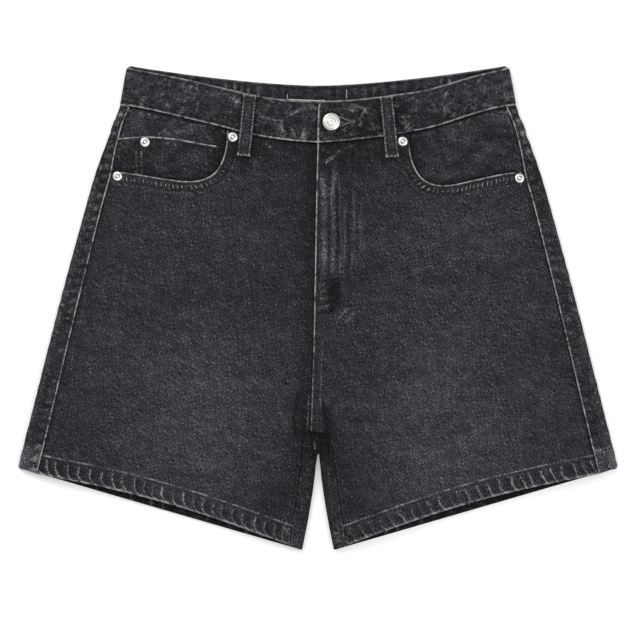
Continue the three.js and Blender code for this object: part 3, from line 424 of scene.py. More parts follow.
def front_shape(x, y, side):
    """The front's middle height, its face's relief, how rubbed it is, and its fading with painted shade, at
    points of one half.
    """
    real_x = x * side
    z = front_panel(real_x, y, side)
    relief, rubbed, painted_shade = np.zeros_like(z), np.zeros_like(z), np.zeros_like(z)
    # Painted shade in the troughs of the main folds and of the lesser creases
    for row in FRONT_FOLDS:
        painted_shade += max(-row[4], 0) * 0.34 * crease(real_x, y, row)
    for row in FRONT_CREASES:
        share = crease(real_x, y, row)
        z = z + row[4] * share
        painted_shade += max(-row[4], 0) * 0.3 * share
        rubbed += row[6] * share * (0.75 + 0.45 * drift(5, real_x / 2.5, y / 2.5))
    # Painted shade along the sharp folds at the fork
    painted_shade += fork_shade(real_x, y)
    # Slow unevenness of cloth that was washed and laid by hand
    z = z + 0.4 * drift(11, real_x / 38, y / 17) + 0.22 * drift(12, real_x / 13, y / 9)

    along, off = beside(pocket_mouth(side), x, y)
    off = -off
    ripple = puckers(21 + side, along, 5.7) * 0.75 + 0.25 * puckers(23 + side, along, 5.1)
    relief += 0.28 * between(off, -2, 9.6, 1.2) - 0.25 * bell(off - 1.9, 0.6) - 0.35 * bell(off - 9.8, 0.8)
    relief += 0.5 * ripple * bell(off - 5.6, 2.4)
    covered = 0.85 * ease((y - 148) / 8) if side > 0 else 0.0
    rubbed += 1.15 * bell(off - 0.4, 0.85) * broken(22 + side, along) * (1 - covered)
    rubbed += 0.45 * ripple**1.4 * bell(off - 6.0, 1.7) + 0.6 * ripple * bell(off - 11.8, 1.2)
    # Painted shade in the hollows between the mouth's puckers and in the grooves of its two stitch rows
    painted_shade += 0.55 * (1 - ripple) * bell(off - 6.3, 1.9)
    painted_shade += 0.35 * bell(off - 2.3, 0.9) + 0.4 * bell(off - 9.2, 0.9)

    hem_along, up = beside(hem_line(), x, y)
    _, _, swell = roping(31 + side, hem_along, up, side)
    inside = between(up, -3, 17.2, 1.4)
    relief += 0.3 * inside + 0.8 * swell * between(up, -3, 14.5, 5) - 0.4 * bell(up - 17.0, 0.8)
    rubbed += 0.75 * bell(up - 0.9, 1.2) * broken(33 + side, hem_along, 5)
    rubbed += 0.8 * bell(up - 18.2, 0.8) * broken(35 + side, hem_along, 4.5)
    # Painted shade between the hem's puckers and in its stitching's groove, and painted light on the raised
    # hem
    painted_shade += 0.5 * (1 - swell) * between(up, 2.5, 14.5, 3) + 0.4 * bell(up - 16.2, 0.9) - 0.12 * inside

    seam_x, seam_y = side_seam_line(HEM_CORNER[1], 140.0).T
    seam_off = np.interp(y, seam_y[::-1], seam_x[::-1]) - x
    relief -= 0.45 * bell(seam_off, 1.4)
    # A dark line along the side seam: painted shade in its groove, and partly the seam's own darker dye
    painted_shade += 1.0 * bell(seam_off - 0.2, 1.3) * (y < 134)
    rubbed += 0.3 * bell(seam_off - 6, 2.5) * puckers(51 + side, y, 10.5) * (y < 120)

    inseam_along, inseam_off = beside(inseam_line(side), x, y)
    inseam_off = np.abs(inseam_off)
    below = y < -118
    relief -= 0.3 * bell(inseam_off - 2.2, 0.9) * below
    # Painted shade towards the gap between the legs, and along the inseam's groove
    painted_gap_shade = 0.16 + 0.3 * ease((y + 205) / 60)
    painted_shade += below * (painted_gap_shade * np.exp(-inseam_off / 11) + 0.35 * bell(inseam_off, 1.0))
    rubbed += 0.4 * bell(inseam_off - 6.5, 1.0) * puckers(61 + side, inseam_along, 9) * below * (y > -205)
    if side < 0:
        rubbed += 0.5 * between(x, 26.5, 34, 2) * between(up, 1, 16, 3) * (0.6 + 0.5 * drift(7, x / 2, y / 2))
    else:
        rubbed += 0.25 * bell(x - 28.5 - (up - 8) * 0.12, 2.0) * between(up, 1, 16, 4)

    off = x - centre_front(y) * side
    if side > 0:
        worn = 1 - 0.35 * ease((-18 - y) / 30)
        rubbed += 1.25 * bell(off - 0.5, 0.85) * worn * broken(37, y, 4)
        relief += 0.25 * between(off, -2, 6.5, 1.2) * ease((-2 - y) / 10)
        relief -= 0.3 * bell(off - 7.2, 0.7) * (y < -5)
        rubbed += 0.5 * bell(off - 8.4, 0.8) * (y < -30) * (y > -96) * broken(39, y, 3)
        painted_shade += 0.35 * bell(off - 2.2, 1.0) * (y < 130)
        # Painted light on the fly's ridges, and painted shade in its troughs and hollow cross puckers
        for fx, high, low, width, rise, rub in FLY_RIDGES:
            share = bell(real_x - fx - 1.5 * drift(int(fx * 10) + 90, y / 21), width)
            share = share * between(y, low, high, 16) * (0.8 + 0.45 * drift(int(fx) + 70, y / 10))
            relief += 1.5 * rise * share
            rubbed += max(rub, 0) * 0.55 * share * (0.8 + 0.4 * drift(int(fx) + 75, real_x / 1.6, y / 3.5))
            painted_shade -= max(rub, 0) * 2.0 * share
            painted_shade += max(-rub, 0) * 1.7 * share
        for fx, fy, reach, width, rise, rub in FLY_PUCKERS:
            share = bell(y - fy - 0.12 * (real_x - fx), width) * between(real_x, fx - reach, fx + reach, 4)
            relief += 1.4 * rise * share
            rubbed += max(rub, 0) * 1.5 * share
            painted_shade += max(-rub, 0) * 1.9 * share
        # Painted shadow in the trough beside the bar-tacked block at the fly's foot
        painted_shade += 0.95 * between(real_x, 9, 21, 7) * between(y, -3, 31, 9)
        painted_shade += 0.3 * bell(real_x - 13, 10) * bell(y - 33, 8)
        painted_shade += 0.3 * between(real_x, -2, 50, 12) * between(y, 128, 160, 12)
        below_bar = between(real_x, 15, 36, 8) * between(y, -15, 3, 6)
        rubbed += 0.26 * below_bar * (0.5 + 0.6 * drift(9, x / 3, y / 2))
    else:
        rubbed += 0.6 * bell(off - 3.0, 0.7) * (y < -82) * broken(43, y, 4)
        # Painted shadow of the left panel's lap along the centre front
        painted_shade += 0.4 * bell(off - 4, 8) + 0.8 * bell(off, 1.2)

    seam_gap = front_seam_y(real_x) - y
    relief -= 0.4 * bell(seam_gap, 2.5)
    # Painted shade under the waistband's lower edge
    painted_shade += 0.95 * bell(seam_gap, 2.4) + 0.4 * np.exp(-np.maximum(seam_gap, 0) / 15)
    rubbed += 0.3 * bell(seam_gap - 5.5, 2.0) * puckers(81 + side, real_x, 8.0)
    # Painted shadow beside the foot of each front belt loop
    painted_shade += 1.0 * bell(x - 68, 11) * bell(y - 148, 11)

    fade_and_shade = 0.36 * np.exp(-(((x - 110) / 76) ** 2) - ((y + 94) / 84) ** 2) - 0.26 * np.exp(-seam_off / 14)
    fade_and_shade -= 0.12 * bell(x - 82, 40) * bell(y + 32, 24)
    fade_and_shade += 0.1 * bell(x - 92, 50) * bell(y + 140, 30)
    fade_and_shade += 0.12 * drift(15, real_x / 55, y / 30) + 0.1 * drift(16, real_x / 34, y / 7)
    fade_and_shade -= 0.06 * ease((y - 30) / 80) + 0.16 * np.exp(-((x / 46) ** 2))
    fade_and_shade += 0.16 * bell(x - 165, 50) * bell(y - 84, 30)
    return z, np.maximum(relief, -0.45), rubbed, fade_and_shade - painted_shade


def cloth_wall(
    name, middle, face, out, inn, rubbed, fade_and_shade, grain, present=None, lining=(0.0, -0.3), ropes=None
):
    """A closed wall round a grid of middle points in millimetres: two skins and a rounded rim.

    rubbed and fade_and_shade describe the outer skin, and lining gives the same two for the inner one, whose
    default darkens it with painted shade. ropes gives the outer skin's finest worn crests, as their count
    along an edge and how strongly they are rubbed."""
    if present is None:
        present = np.ones(middle.shape[:2], bool)
    spread = lambda values: np.broadcast_to(values, middle.shape[:2])[present]
    index = np.full(present.shape, -1)
    index[present] = np.arange(present.sum())
    quads = np.stack([index[:-1, :-1], index[:-1, 1:], index[1:, 1:], index[1:, :-1]], -1).reshape(-1, 4)
    quads = quads[(quads >= 0).all(1)]
    if face < 0:
        quads = quads[:, ::-1]
    points = middle[present]
    cross = np.cross(points[quads[:, 2]] - points[quads[:, 0]], points[quads[:, 3]] - points[quads[:, 1]])
    normals = np.zeros_like(points)
    for corner in range(4):
        np.add.at(normals, quads[:, corner], cross)
    normals /= np.maximum(np.linalg.norm(normals, axis=1, keepdims=True), 1e-9)
    outer = points + normals * spread(out)[:, None]
    inner = points - normals * spread(inn)[:, None]

    edges = np.concatenate([quads[:, [k, (k + 1) % 4]] for k in range(4)])
    count = len(points)
    rim = edges[~np.isin(edges[:, 0] * count + edges[:, 1], edges[:, 1] * count + edges[:, 0])]
    along = points[rim[:, 1]] - points[rim[:, 0]]
    away = np.zeros_like(points)
    for end in (0, 1):
        np.add.at(away, rim[:, end], np.cross(along, normals[rim[:, end]]))
    on_rim = np.unique(rim)
    away = away[on_rim] / np.maximum(np.linalg.norm(away[on_rim], axis=1, keepdims=True), 1e-9)
    half = (outer[on_rim] + inner[on_rim]) / 2 + away * 0.13
    number = np.zeros(count, int)
    number[on_rim] = 2 * count + np.arange(len(on_rim))
    start, end = rim.T
    faces = np.concatenate([
        quads,
        quads[:, ::-1] + count,
        np.stack([end, start, number[start], number[end]], -1),
        np.stack([number[end], number[start], start + count, end + count], -1),
    ])
    places = np.concatenate([outer, inner, half])

    mesh = bpy.data.meshes.new(name)
    mesh.from_pydata(places * MM, [], faces)
    mesh.shade_smooth()
    flat = grain[present]
    flat = np.concatenate([flat, flat, flat[on_rim]]) * MM
    corners = np.empty(len(mesh.loops), int)
    mesh.loops.foreach_get("vertex_index", corners)
    mesh.uv_layers.new(name="grain").data.foreach_set("uv", flat[corners].ravel())
    worn, pale = spread(rubbed), spread(fade_and_shade)
    fields = {
        "rubbed": np.concatenate([worn, spread(lining[0]), worn[on_rim] * 0.7]).clip(-2, 2),
        "fade_and_shade": np.concatenate([pale, spread(lining[1]), pale[on_rim]]).clip(-2, 2),
    }
    if ropes is not None:
        count_along, strength = spread(ropes[0]), spread(ropes[1])
        fields["rope_count"] = np.concatenate([count_along, count_along, count_along[on_rim]])
        fields["rope_rub"] = np.concatenate([strength, 0 * strength, strength[on_rim] * 0.5])
    for field, values in fields.items():
        held = mesh.attributes.new(field, "FLOAT", "POINT")
        held.data.foreach_set("value", np.clip(values, -60, 60).astype("f"))
    piece = bpy.data.objects.new(name, mesh)
    bpy.context.collection.objects.link(piece)
    return piece


DARKEST = 0.0055
PALEST = 0.17


def washed_denim(name, marbling=0.5, marble_size=11.0, tone=1.0):
    """Charcoal twill after a stone wash: diagonal wales, pale flecks, slow blotches and rubbed crests."""
    material = bpy.data.materials.new(name)
    material.use_nodes = True
    tree = material.node_tree
    nodes, link = tree.nodes, tree.links.new
    shader = nodes["Principled BSDF"]

    def node(kind, values=(), **settings):
        made = nodes.new(kind)
        for key, value in settings.items():
            setattr(made, key, value)
        for socket, value in dict(values).items():
            if isinstance(value, bpy.types.NodeSocket):
                link(value, made.inputs[socket])
            else:
                made.inputs[socket].default_value = value
        return made

    def noise(place, scale, detail, roughness=0.5):
        values = {"Vector": place, "Scale": scale, "Detail": detail, "Roughness": roughness}
        return node("ShaderNodeTexNoise", values).outputs["Fac"]

    def weighted(amount, factor, rest):
        """(amount - 0.5) * factor + rest"""
        centred = node("ShaderNodeMath", {0: amount, 1: 0.5}, operation="SUBTRACT").outputs[0]
        return node("ShaderNodeMath", {0: centred, 1: factor, 2: rest}, operation="MULTIPLY_ADD").outputs[0]

    def wales(scale, distortion, detail, detail_scale):
        values = {"Vector": twill_place, "Scale": scale, "Distortion": distortion}
        values.update({"Detail": detail, "Detail Scale": detail_scale})
        return node("ShaderNodeTexWave", values, wave_type="BANDS", bands_direction="X").outputs["Fac"]

    def patchy(low, high):
        values = {"Value": patch, "From Min": 0.34, "From Max": 0.66, "To Min": low, "To Max": high}
        return node("ShaderNodeMapRange", values).outputs[0]

    grain = node("ShaderNodeUVMap", uv_map="grain").outputs["UV"]
    cloth = node("ShaderNodeMapping", {"Vector": grain, "Scale": (1000, 1000, 1000)}).outputs[0]
    slope = (0, 0, math.radians(35))
    twill_place = node("ShaderNodeMapping", {"Vector": cloth, "Rotation": slope}).outputs[0]
    wale = wales(0.31, 1.6, 1.5, 0.9)
    stretched = node("ShaderNodeMapping", {"Vector": twill_place, "Scale": (1.0, 0.27, 1)}).outputs[0]
    fleck = noise(stretched, 1.4, 1.0, 0.6)
    # Every second wale stands a little proud and is worn to short pale dashes
    dash = wales(0.152, 3.2, 2.0, 0.7)
    # The flecks are strong in some patches and nearly washed out of others
    patch = noise(cloth, 0.16, 2.0)
    fleck_weight = patchy(1.1, 2.5)
    dash_weight = patchy(0.1, 0.4)
    speckle = noise(cloth, 1.1, 1.0, 0.8)
    blotch = noise(cloth, 1 / marble_size, 3.0, 0.6)
    tint = noise(cloth, 0.11, 2.0)
    # fade_and_shade holds wash fading with painted shade in folds, grooves and under edges, and painted light
    # on crests
    fade_and_shade = node("ShaderNodeAttribute", attribute_name="fade_and_shade").outputs["Fac"]
    rubbed = node("ShaderNodeAttribute", attribute_name="rubbed").outputs["Fac"]
    # The crest of each pucker of a roped hem, or bead of a pocket mouth, is a thin pale line
    rope_count = node("ShaderNodeAttribute", attribute_name="rope_count").outputs["Fac"]
    rope_rub = node("ShaderNodeAttribute", attribute_name="rope_rub").outputs["Fac"]
    phase = node("ShaderNodeMath", {0: rope_count}, operation="FRACT").outputs[0]
    off_crest = node("ShaderNodeMath", {0: phase, 1: 0.25}, operation="SUBTRACT").outputs[0]
    off_crest = node("ShaderNodeMath", {0: off_crest}, operation="ABSOLUTE").outputs[0]
    frayed = noise(cloth, 0.42, 2.0, 0.6)
    off_crest = weighted(frayed, 0.16, off_crest)
    crest_line = node(
        "ShaderNodeMapRange",
        {"Value": off_crest, "From Min": 0.0, "From Max": 0.13, "To Min": 1.0, "To Max": 0.0},
        interpolation_type="SMOOTHSTEP",
    ).outputs[0]
    flecked = {0: crest_line, 1: weighted(fleck, 2.4, 1.0)}
    crest_line = node("ShaderNodeMath", flecked, operation="MULTIPLY").outputs[0]
    with_ropes = {0: crest_line, 1: rope_rub, 2: rubbed}
    rubbed = node("ShaderNodeMath", with_ropes, operation="MULTIPLY_ADD").outputs[0]

    # A level of 0 to 1 runs evenly by ratio from the darkest shade of the cloth to its palest
    level = node("ShaderNodeMath", {0: fade_and_shade, 1: 0.36, 2: 0.414}, operation="MULTIPLY_ADD").outputs[0]
    level = weighted(wale, 0.16, level)
    level = weighted(fleck, fleck_weight, level)
    level = weighted(dash, dash_weight, level)
    level = weighted(speckle, 0.85, level)
    level = weighted(blotch, marbling, level)
    ramp = node("ShaderNodeValToRGB", {"Fac": level})
    stops = 8
    while len(ramp.color_ramp.elements) < stops:
        ramp.color_ramp.elements.new(0.5)
    for step, element in enumerate(ramp.color_ramp.elements):
        share = step / (stops - 1)
        grey = tone * DARKEST * (PALEST / DARKEST) ** share
        element.position = share
        element.color = (grey * 0.985, grey * 0.95, grey * 1.12, 1)
    hue = node("ShaderNodeMix", {"Factor": tint}, data_type="RGBA", blend_type="MIX")
    hue.inputs[6].default_value = (1.04, 1.01, 0.9, 1)
    hue.inputs[7].default_value = (0.95, 0.98, 1.12, 1)
    dyed = node("ShaderNodeMix", {"Factor": 1.0}, data_type="RGBA", blend_type="MULTIPLY")
    link(ramp.outputs["Color"], dyed.inputs[6])
    link(hue.outputs[2], dyed.inputs[7])

    crest = weighted(speckle, 0.6, rubbed)
    crest = weighted(fleck, 1.1, crest)
    bare = node(
        "ShaderNodeMapRange",
        {"Value": crest, "From Min": 0.14, "From Max": 1.2, "To Min": 0.0, "To Max": 1.0},
        interpolation_type="SMOOTHSTEP",
    ).outputs[0]
    colour = node("ShaderNodeMix", {"Factor": bare}, data_type="RGBA")
    link(dyed.outputs[2], colour.inputs[6])
    colour.inputs[7].default_value = (0.36, 0.355, 0.365, 1)
    link(colour.outputs[2], shader.inputs["Base Color"])

    height = weighted(wale, 0.6, 0.5)
    height = weighted(fleck, 0.6, height)
    height = weighted(speckle, 0.8, height)
    bump = node("ShaderNodeBump", {"Height": height, "Strength": 0.8, "Distance": 0.0006})
    link(bump.outputs["Normal"], shader.inputs["Normal"])
    shader.inputs["Roughness"].default_value = 0.9
    shader.inputs["Specular IOR Level"].default_value = 0.1
    shader.inputs["Sheen Weight"].default_value = 0.02
    shader.inputs["Sheen Roughness"].default_value = 0.5
    return material


def thread_of(name, shade, roughness=0.65):
    """Thread or tape of one colour, with its plies as a fine bump."""
    material = bpy.data.materials.new(name)
    material.use_nodes = True
    nodes, link = material.node_tree.nodes, material.node_tree.links.new
    shader = nodes["Principled BSDF"]
    place = nodes.new("ShaderNodeTexCoord")
    ply = nodes.new("ShaderNodeTexNoise")
    ply.inputs["Scale"].default_value = 2600
    link(place.outputs["Object"], ply.inputs["Vector"])
    ramp = nodes.new("ShaderNodeValToRGB")
    for element, factor in zip(ramp.color_ramp.elements, (0.6, 1.5)):
        element.color = (shade[0] * factor, shade[1] * factor, shade[2] * factor, 1)
    link(ply.outputs["Fac"], ramp.inputs["Fac"])
    link(ramp.outputs["Color"], shader.inputs["Base Color"])
    bump = nodes.new("ShaderNodeBump")
    bump.inputs["Distance"].default_value = 0.0001
    link(ply.outputs["Fac"], bump.inputs["Height"])
    link(bump.outputs["Normal"], shader.inputs["Normal"])
    shader.inputs["Roughness"].default_value = roughness
    return material


def stitch_tree():
    """Geometry Nodes that lay one short stitch after another along each row."""
    tree = bpy.data.node_groups.new("stitch_rows", "GeometryNodeTree")
    ask = tree.interface.new_socket
    ask("Rows", in_out="INPUT", socket_type="NodeSocketGeometry")
    for label, start in (("Pitch", 0.0031), ("Stitch length", 0.0024), ("Thread", 0.0006)):
        ask(label, in_out="INPUT", socket_type="NodeSocketFloat").default_value = start
    ask("Finish", in_out="INPUT", socket_type="NodeSocketMaterial")
    ask("Stitches", in_out="OUTPUT", socket_type="NodeSocketGeometry")
    nodes, link = tree.nodes, tree.links.new
    given, result = nodes.new("NodeGroupInput"), nodes.new("NodeGroupOutput")
    path = nodes.new("GeometryNodeMeshToCurve")
    steps = nodes.new("GeometryNodeResampleCurve")
    steps.mode = "LENGTH"
    heading = nodes.new("GeometryNodeInputTangent")
    turn = nodes.new("FunctionNodeAlignRotationToVector")
    turn.axis = "X"
    ball = nodes.new("GeometryNodeMeshUVSphere")
    ball.inputs["Segments"].default_value = 6
    ball.inputs["Rings"].default_value = 4
    ball.inputs["Radius"].default_value = 0.5
    size = nodes.new("ShaderNodeCombineXYZ")
    place = nodes.new("GeometryNodeInstanceOnPoints")
    real = nodes.new("GeometryNodeRealizeInstances")
    smooth = nodes.new("GeometryNodeSetShadeSmooth")
    finish = nodes.new("GeometryNodeSetMaterial")
    link(given.outputs["Rows"], path.inputs[0])
    link(path.outputs[0], steps.inputs["Curve"])
    link(given.outputs["Pitch"], steps.inputs["Length"])
    link(steps.outputs[0], place.inputs["Points"])
    link(heading.outputs[0], turn.inputs["Vector"])
    link(turn.outputs[0], place.inputs["Rotation"])
    link(ball.outputs["Mesh"], place.inputs["Instance"])
    link(given.outputs["Stitch length"], size.inputs["X"])
    link(given.outputs["Thread"], size.inputs["Y"])
    link(given.outputs["Thread"], size.inputs["Z"])
    link(size.outputs[0], place.inputs["Scale"])
    link(place.outputs[0], real.inputs[0])
    link(real.outputs[0], smooth.inputs[0])
    link(smooth.outputs[0], finish.inputs["Geometry"])
    link(given.outputs["Finish"], finish.inputs["Material"])
    link(finish.outputs[0], result.inputs[0])
    return tree


STITCHING = stitch_tree()


def sew(name, rows, finish, pitch=3.1, length=2.4, thread=0.6):
    """Stitches along rows of points in millimetres, as one plain mesh."""
    points, edges = [], []
    for row in rows:
        edges += [(len(points) + i, len(points) + i + 1) for i in range(len(row) - 1)]
        points += [tuple(point * MM) for point in np.asarray(row, float)]
    guide = bpy.data.objects.new(name + "_guide", bpy.data.meshes.new(name + "_guide"))
    guide.data.from_pydata(points, edges, [])
    bpy.context.collection.objects.link(guide)
    layer = guide.modifiers.new("stitches", "NODES")
    layer.node_group = STITCHING
    given = {"Pitch": pitch * MM, "Stitch length": length * MM, "Thread": thread * MM, "Finish": finish}
    for item in STITCHING.interface.items_tree:
        if item.in_out == "INPUT" and item.name in given:
            layer[item.identifier] = given[item.name]
    graph = bpy.context.evaluated_depsgraph_get()
    mesh = bpy.data.meshes.new_from_object(guide.evaluated_get(graph))
    bpy.data.objects.remove(guide)
    mesh.name = name
    piece = bpy.data.objects.new(name, mesh)
    bpy.context.collection.objects.link(piece)
    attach(piece, "root")
    return piece


def run_along(*parts):
    """A function from 0 to 1 along several lines joined end to end, each taking its own share of the way."""
    total = sum(share for _, share in parts)

    def place(value):
        value = np.atleast_1d(np.asarray(value, float)) * total
        result, begun = np.zeros((len(value), 2)), 0.0
        for number, (line, share) in enumerate(parts):
            line = np.asarray(line, float)
            length = np.concatenate([[0], np.cumsum(np.hypot(*np.diff(line, axis=0).T))])
            here = (value >= begun - 1e-9) if number else np.ones(len(value), bool)
            at = np.clip((value[here] - begun) / share, 0, 1) * length[-1]
            result[here] = np.stack([np.interp(at, length, line[:, k]) for k in (0, 1)], -1)
            begun += share
        return result

    return place


def fill_in(top, bottom, inner, outer, u, v):
    """A grid of plan points spanning four edges, with u across and v down."""
    t, b, i, o = top(u)[None], bottom(u)[None], inner(v)[:, None], outer(v)[:, None]
    uu, vv = u[None, :, None], v[:, None, None]
    corners = (1 - uu) * (1 - vv) * top([0.0]) + uu * (1 - vv) * top([1.0])
    corners = corners + (1 - uu) * vv * bottom([0.0]) + uu * vv * bottom([1.0])
    return (1 - uu) * i + uu * o + (1 - vv) * t + vv * b - corners


def divided(*zones):
    """Steps from 0 to 1, with a number of steps up to each zone's end, and finer ones beside both ends."""
    ends = [0.0] + [end for end, _ in zones]
    runs = [np.linspace(low, high, count + 1) for (low, high), (_, count) in zip(zip(ends, ends[1:]), zones)]
    steps = np.unique(np.round(np.concatenate(runs), 7))
    fine = np.array([0.25, 0.55])
    return np.unique(np.concatenate([steps, steps[1] * fine, 1 - (1 - steps[-2]) * fine]))


def on_front(line, side, lift=0.12):
    """A row of stitches on the front panel's face, through plan points of one half."""
    line = np.asarray(line, float)
    x, y = line.T
    z, relief, _, _ = front_shape(x, y, side)
    return np.stack([x * side, y, z + DENIM / 2 + relief + lift], -1)


def shifted(line, off):
    """A line moved off to its left."""
    line = np.asarray(line, float)
    ahead = np.gradient(line, axis=0)
    ahead /= np.maximum(np.linalg.norm(ahead, axis=1, keepdims=True), 1e-9)
    return line + off * np.stack([-ahead[:, 1], ahead[:, 0]], -1)


def front_edges(side):
    """The four edges of a front panel over one half of the garment."""
    y = np.linspace(front_seam_y(0) - SEAM_GAP, CROTCH[1], 60)
    under = 0.0 if side > 0 else FLY_LAP["under"] * ease((y - FLY_LAP["foot"] - 2) / 26)
    rise = np.stack([centre_front(y) * side + SEAM_GAP / 2 - under, y], -1)
    inseam = inseam_line(side) + np.array([SEAM_GAP / 2, 0])
    inseam[0] = rise[-1]
    mouth = pocket_mouth(side)
    first = np.array([[mouth[0, 0] - 0.3, front_seam_y((mouth[0, 0] - 0.3) * side) - SEAM_GAP]])
    outer_seam = side_seam_line(HEM_CORNER[1], MOUTH_END[1]) - np.array([SEAM_GAP / 2, 0])
    mouth = np.concatenate([first, mouth, outer_seam[:1]])
    top_x = np.linspace(rise[0, 0], first[0, 0], 30)
    top = np.stack([top_x, front_seam_y(top_x * side) - SEAM_GAP], -1)
    foot = hem_line()
    foot[0], foot[-1] = inseam[-1], outer_seam[-1]
    return (
        run_along((top, 1)),
        run_along((foot, 1)),
        run_along((rise, 0.74), (inseam, 0.26)),
        run_along((mouth, 0.36), (outer_seam, 0.64)),
    )


# Rows of stitches: off the mouth's edge, off the hem's edge, and the fly's two rows with where they bend
MOUTH_ROWS = (1.7, 9.8)
HEM_ROW = 17.0
FLY_ROWS = {"off": (30.0, 36.0), "bend": 62.0}
denim = washed_denim("washed_denim")
thread = thread_of("charcoal_thread", (0.022, 0.022, 0.025))
for side, word in ((1, "left"), (-1, "right")):
    u = divided((0.24, 66), (0.9, 74), (1.0, 28))
    v = divided((0.02, 7), (0.95, 170), (1.0, 30))
    plan = fill_in(*front_edges(side), u, v)
    x, y = plan[..., 0], plan[..., 1]
    z, relief, rubbed, fade_and_shade = front_shape(x, y, side)
    _, up = beside(hem_line(), x, y)
    piece = cloth_wall(
        f"front_panel_{word}",
        np.stack([x * side, y, z], -1),
        -side,
        DENIM / 2 + relief,
        DENIM / 2 + HEM_EXTRA * ease((HEM_DEPTH - up) / 1.5 + 0.5),
        rubbed,
        fade_and_shade,
        np.stack([x * side, y], -1),
        ropes=front_ropes(x, y, side),
    )
    piece.data.materials.append(denim)
    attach(piece, "root")
    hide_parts(f"front_{word}")
    mouth = pocket_mouth(side)
    hem = hem_line()
    rows = [on_front(shifted(mouth, -off), side) for off in MOUTH_ROWS]
    rows.append(on_front(shifted(hem, HEM_ROW)[1:-1], side))
    inseam = inseam_line(side)[2:]
    rows.append(on_front(inseam + np.array([2.4, 0.4]), side))
    sew(f"front_stitching_{word}", rows, thread)
fly_rows = []
for off in FLY_ROWS["off"]:
    down = np.linspace(front_seam_y(off) - 3, FLY_ROWS["bend"], 24)
    turn = np.linspace(0, np.pi / 2, 16)
    reach = off - 3.0
    curve = np.stack([off - reach * (1 - np.cos(turn)), FLY_ROWS["bend"] - (off + 5) * np.sin(turn)], -1)
    fly_rows.append(on_front(np.concatenate([np.stack([np.full(24, off), down], -1), curve[1:]]), 1))
closed = np.linspace(FLY_LAP["foot"], CROTCH[1] + 3, 40)
for off in (1.8, 6.6):
    fly_rows.append(on_front(np.stack([centre_front(closed) + off, closed], -1), 1))
edge = np.linspace(front_seam_y(0) - 3, FLY_LAP["foot"], 50)
fly_rows.append(on_front(np.stack([centre_front(edge) + 1.6, edge], -1), 1))
sew("fly_stitching", fly_rows, thread)
# The bar that closes the foot of the fly, sewn across in a close zigzag
bar = [
    on_front(np.array([(1.0, level + 0.3 * (k % 2)), (7.5, level)]), 1, 0.2)
    for k, level in enumerate(np.linspace(-1.5, 1.5, 6))
]
sew("fly_bar_tack", bar, thread, pitch=1.6, length=1.9, thread=0.5)

# Pocket facings
# Denim behind each pocket mouth, so that the pocket's lining doesn't show. Each one is sewn into the band's
# seam above and the side seam, and lies under the front panel's scooped edge.
FACING_DROP = 1.55
FACING_FOOT = [(196.0, 111.0), (160.0, 104.0), (122.0, 101.0), (90.0, 109.0), (76.0, 130.0)]
# Creases of the facing: both ends, height, half width, rubbing
FACING_CREASES = {
    1: [
        (112, 160, 150, 158, 0.5, 3.5, 0.15),
        (100, 140, 130, 132, -0.4, 4, 0),
        (150, 150, 185, 140, 0.4, 5, 0.1),
        (172, 160, 188, 150, 0.4, 2.5, 0.2),
        (120, 172, 150, 178, 0.4, 3, 0.15),
    ],
    -1: [
        (118, 169, 152, 165, 0.7, 2.6, 0.35),
        (140, 173, 158, 160, 0.5, 1.6, 0.35),
        (128, 160, 104, 163, -0.4, 3, 0),
        (150, 180, 178, 183, 0.4, 2.4, 0.3),
        (108, 168, 98, 156, 0.5, 2.2, 0.3),
        (168, 176, 182, 166, 0.3, 2, 0.2),
    ],
}


def facing_shape(x, y, side):
    z = front_panel(x * side, y, side) - FACING_DROP
    rubbed = np.zeros_like(z)
    for row in FACING_CREASES[side]:
        share = crease(x, y, row)
        z = z + 0.35 * row[4] * share
        rubbed = rubbed + row[6] * share * (0.8 + 0.3 * drift(17, x / 2, y / 2))
    _, off = beside(pocket_mouth(side), x, y)
    # Darker just inside the mouth: painted shadow of the front's scooped edge, with some darker dye of the
    # cloth
    # Painted shade under the band's seam, and a dark line of painted shade along the side seam
    painted_shade = 1.5 * np.exp(-np.maximum(off, 0) / 1.7) + 0.45 * np.exp(-np.maximum(off, 0) / 9)
    gap = front_seam_y(x * side) - y
    painted_shade = painted_shade + 1.0 * bell(gap, 2.0) + 0.25 * np.exp(-np.maximum(gap, 0) / 9)
    rubbed = rubbed + 0.75 * bell(gap - 4.6, 1.2) * puckers(18 + side, x, 9) * broken(45, x, 4)
    seam_x, seam_y = side_seam_line(110.0, 193.0).T
    seam_off = np.interp(y, seam_y[::-1], seam_x[::-1]) - x
    painted_shade = painted_shade + 1.2 * bell(seam_off, 1.4)
    rubbed = rubbed + 0.5 * bell(seam_off - 3.8, 1.5) * puckers(19 + side, y, 8)
    fade_and_shade = -0.02 + 0.36 * drift(20 + side, x / 14, y / 9) + 0.3 * drift(47, x / 6, y / 4) - painted_shade
    return z, rubbed, fade_and_shade


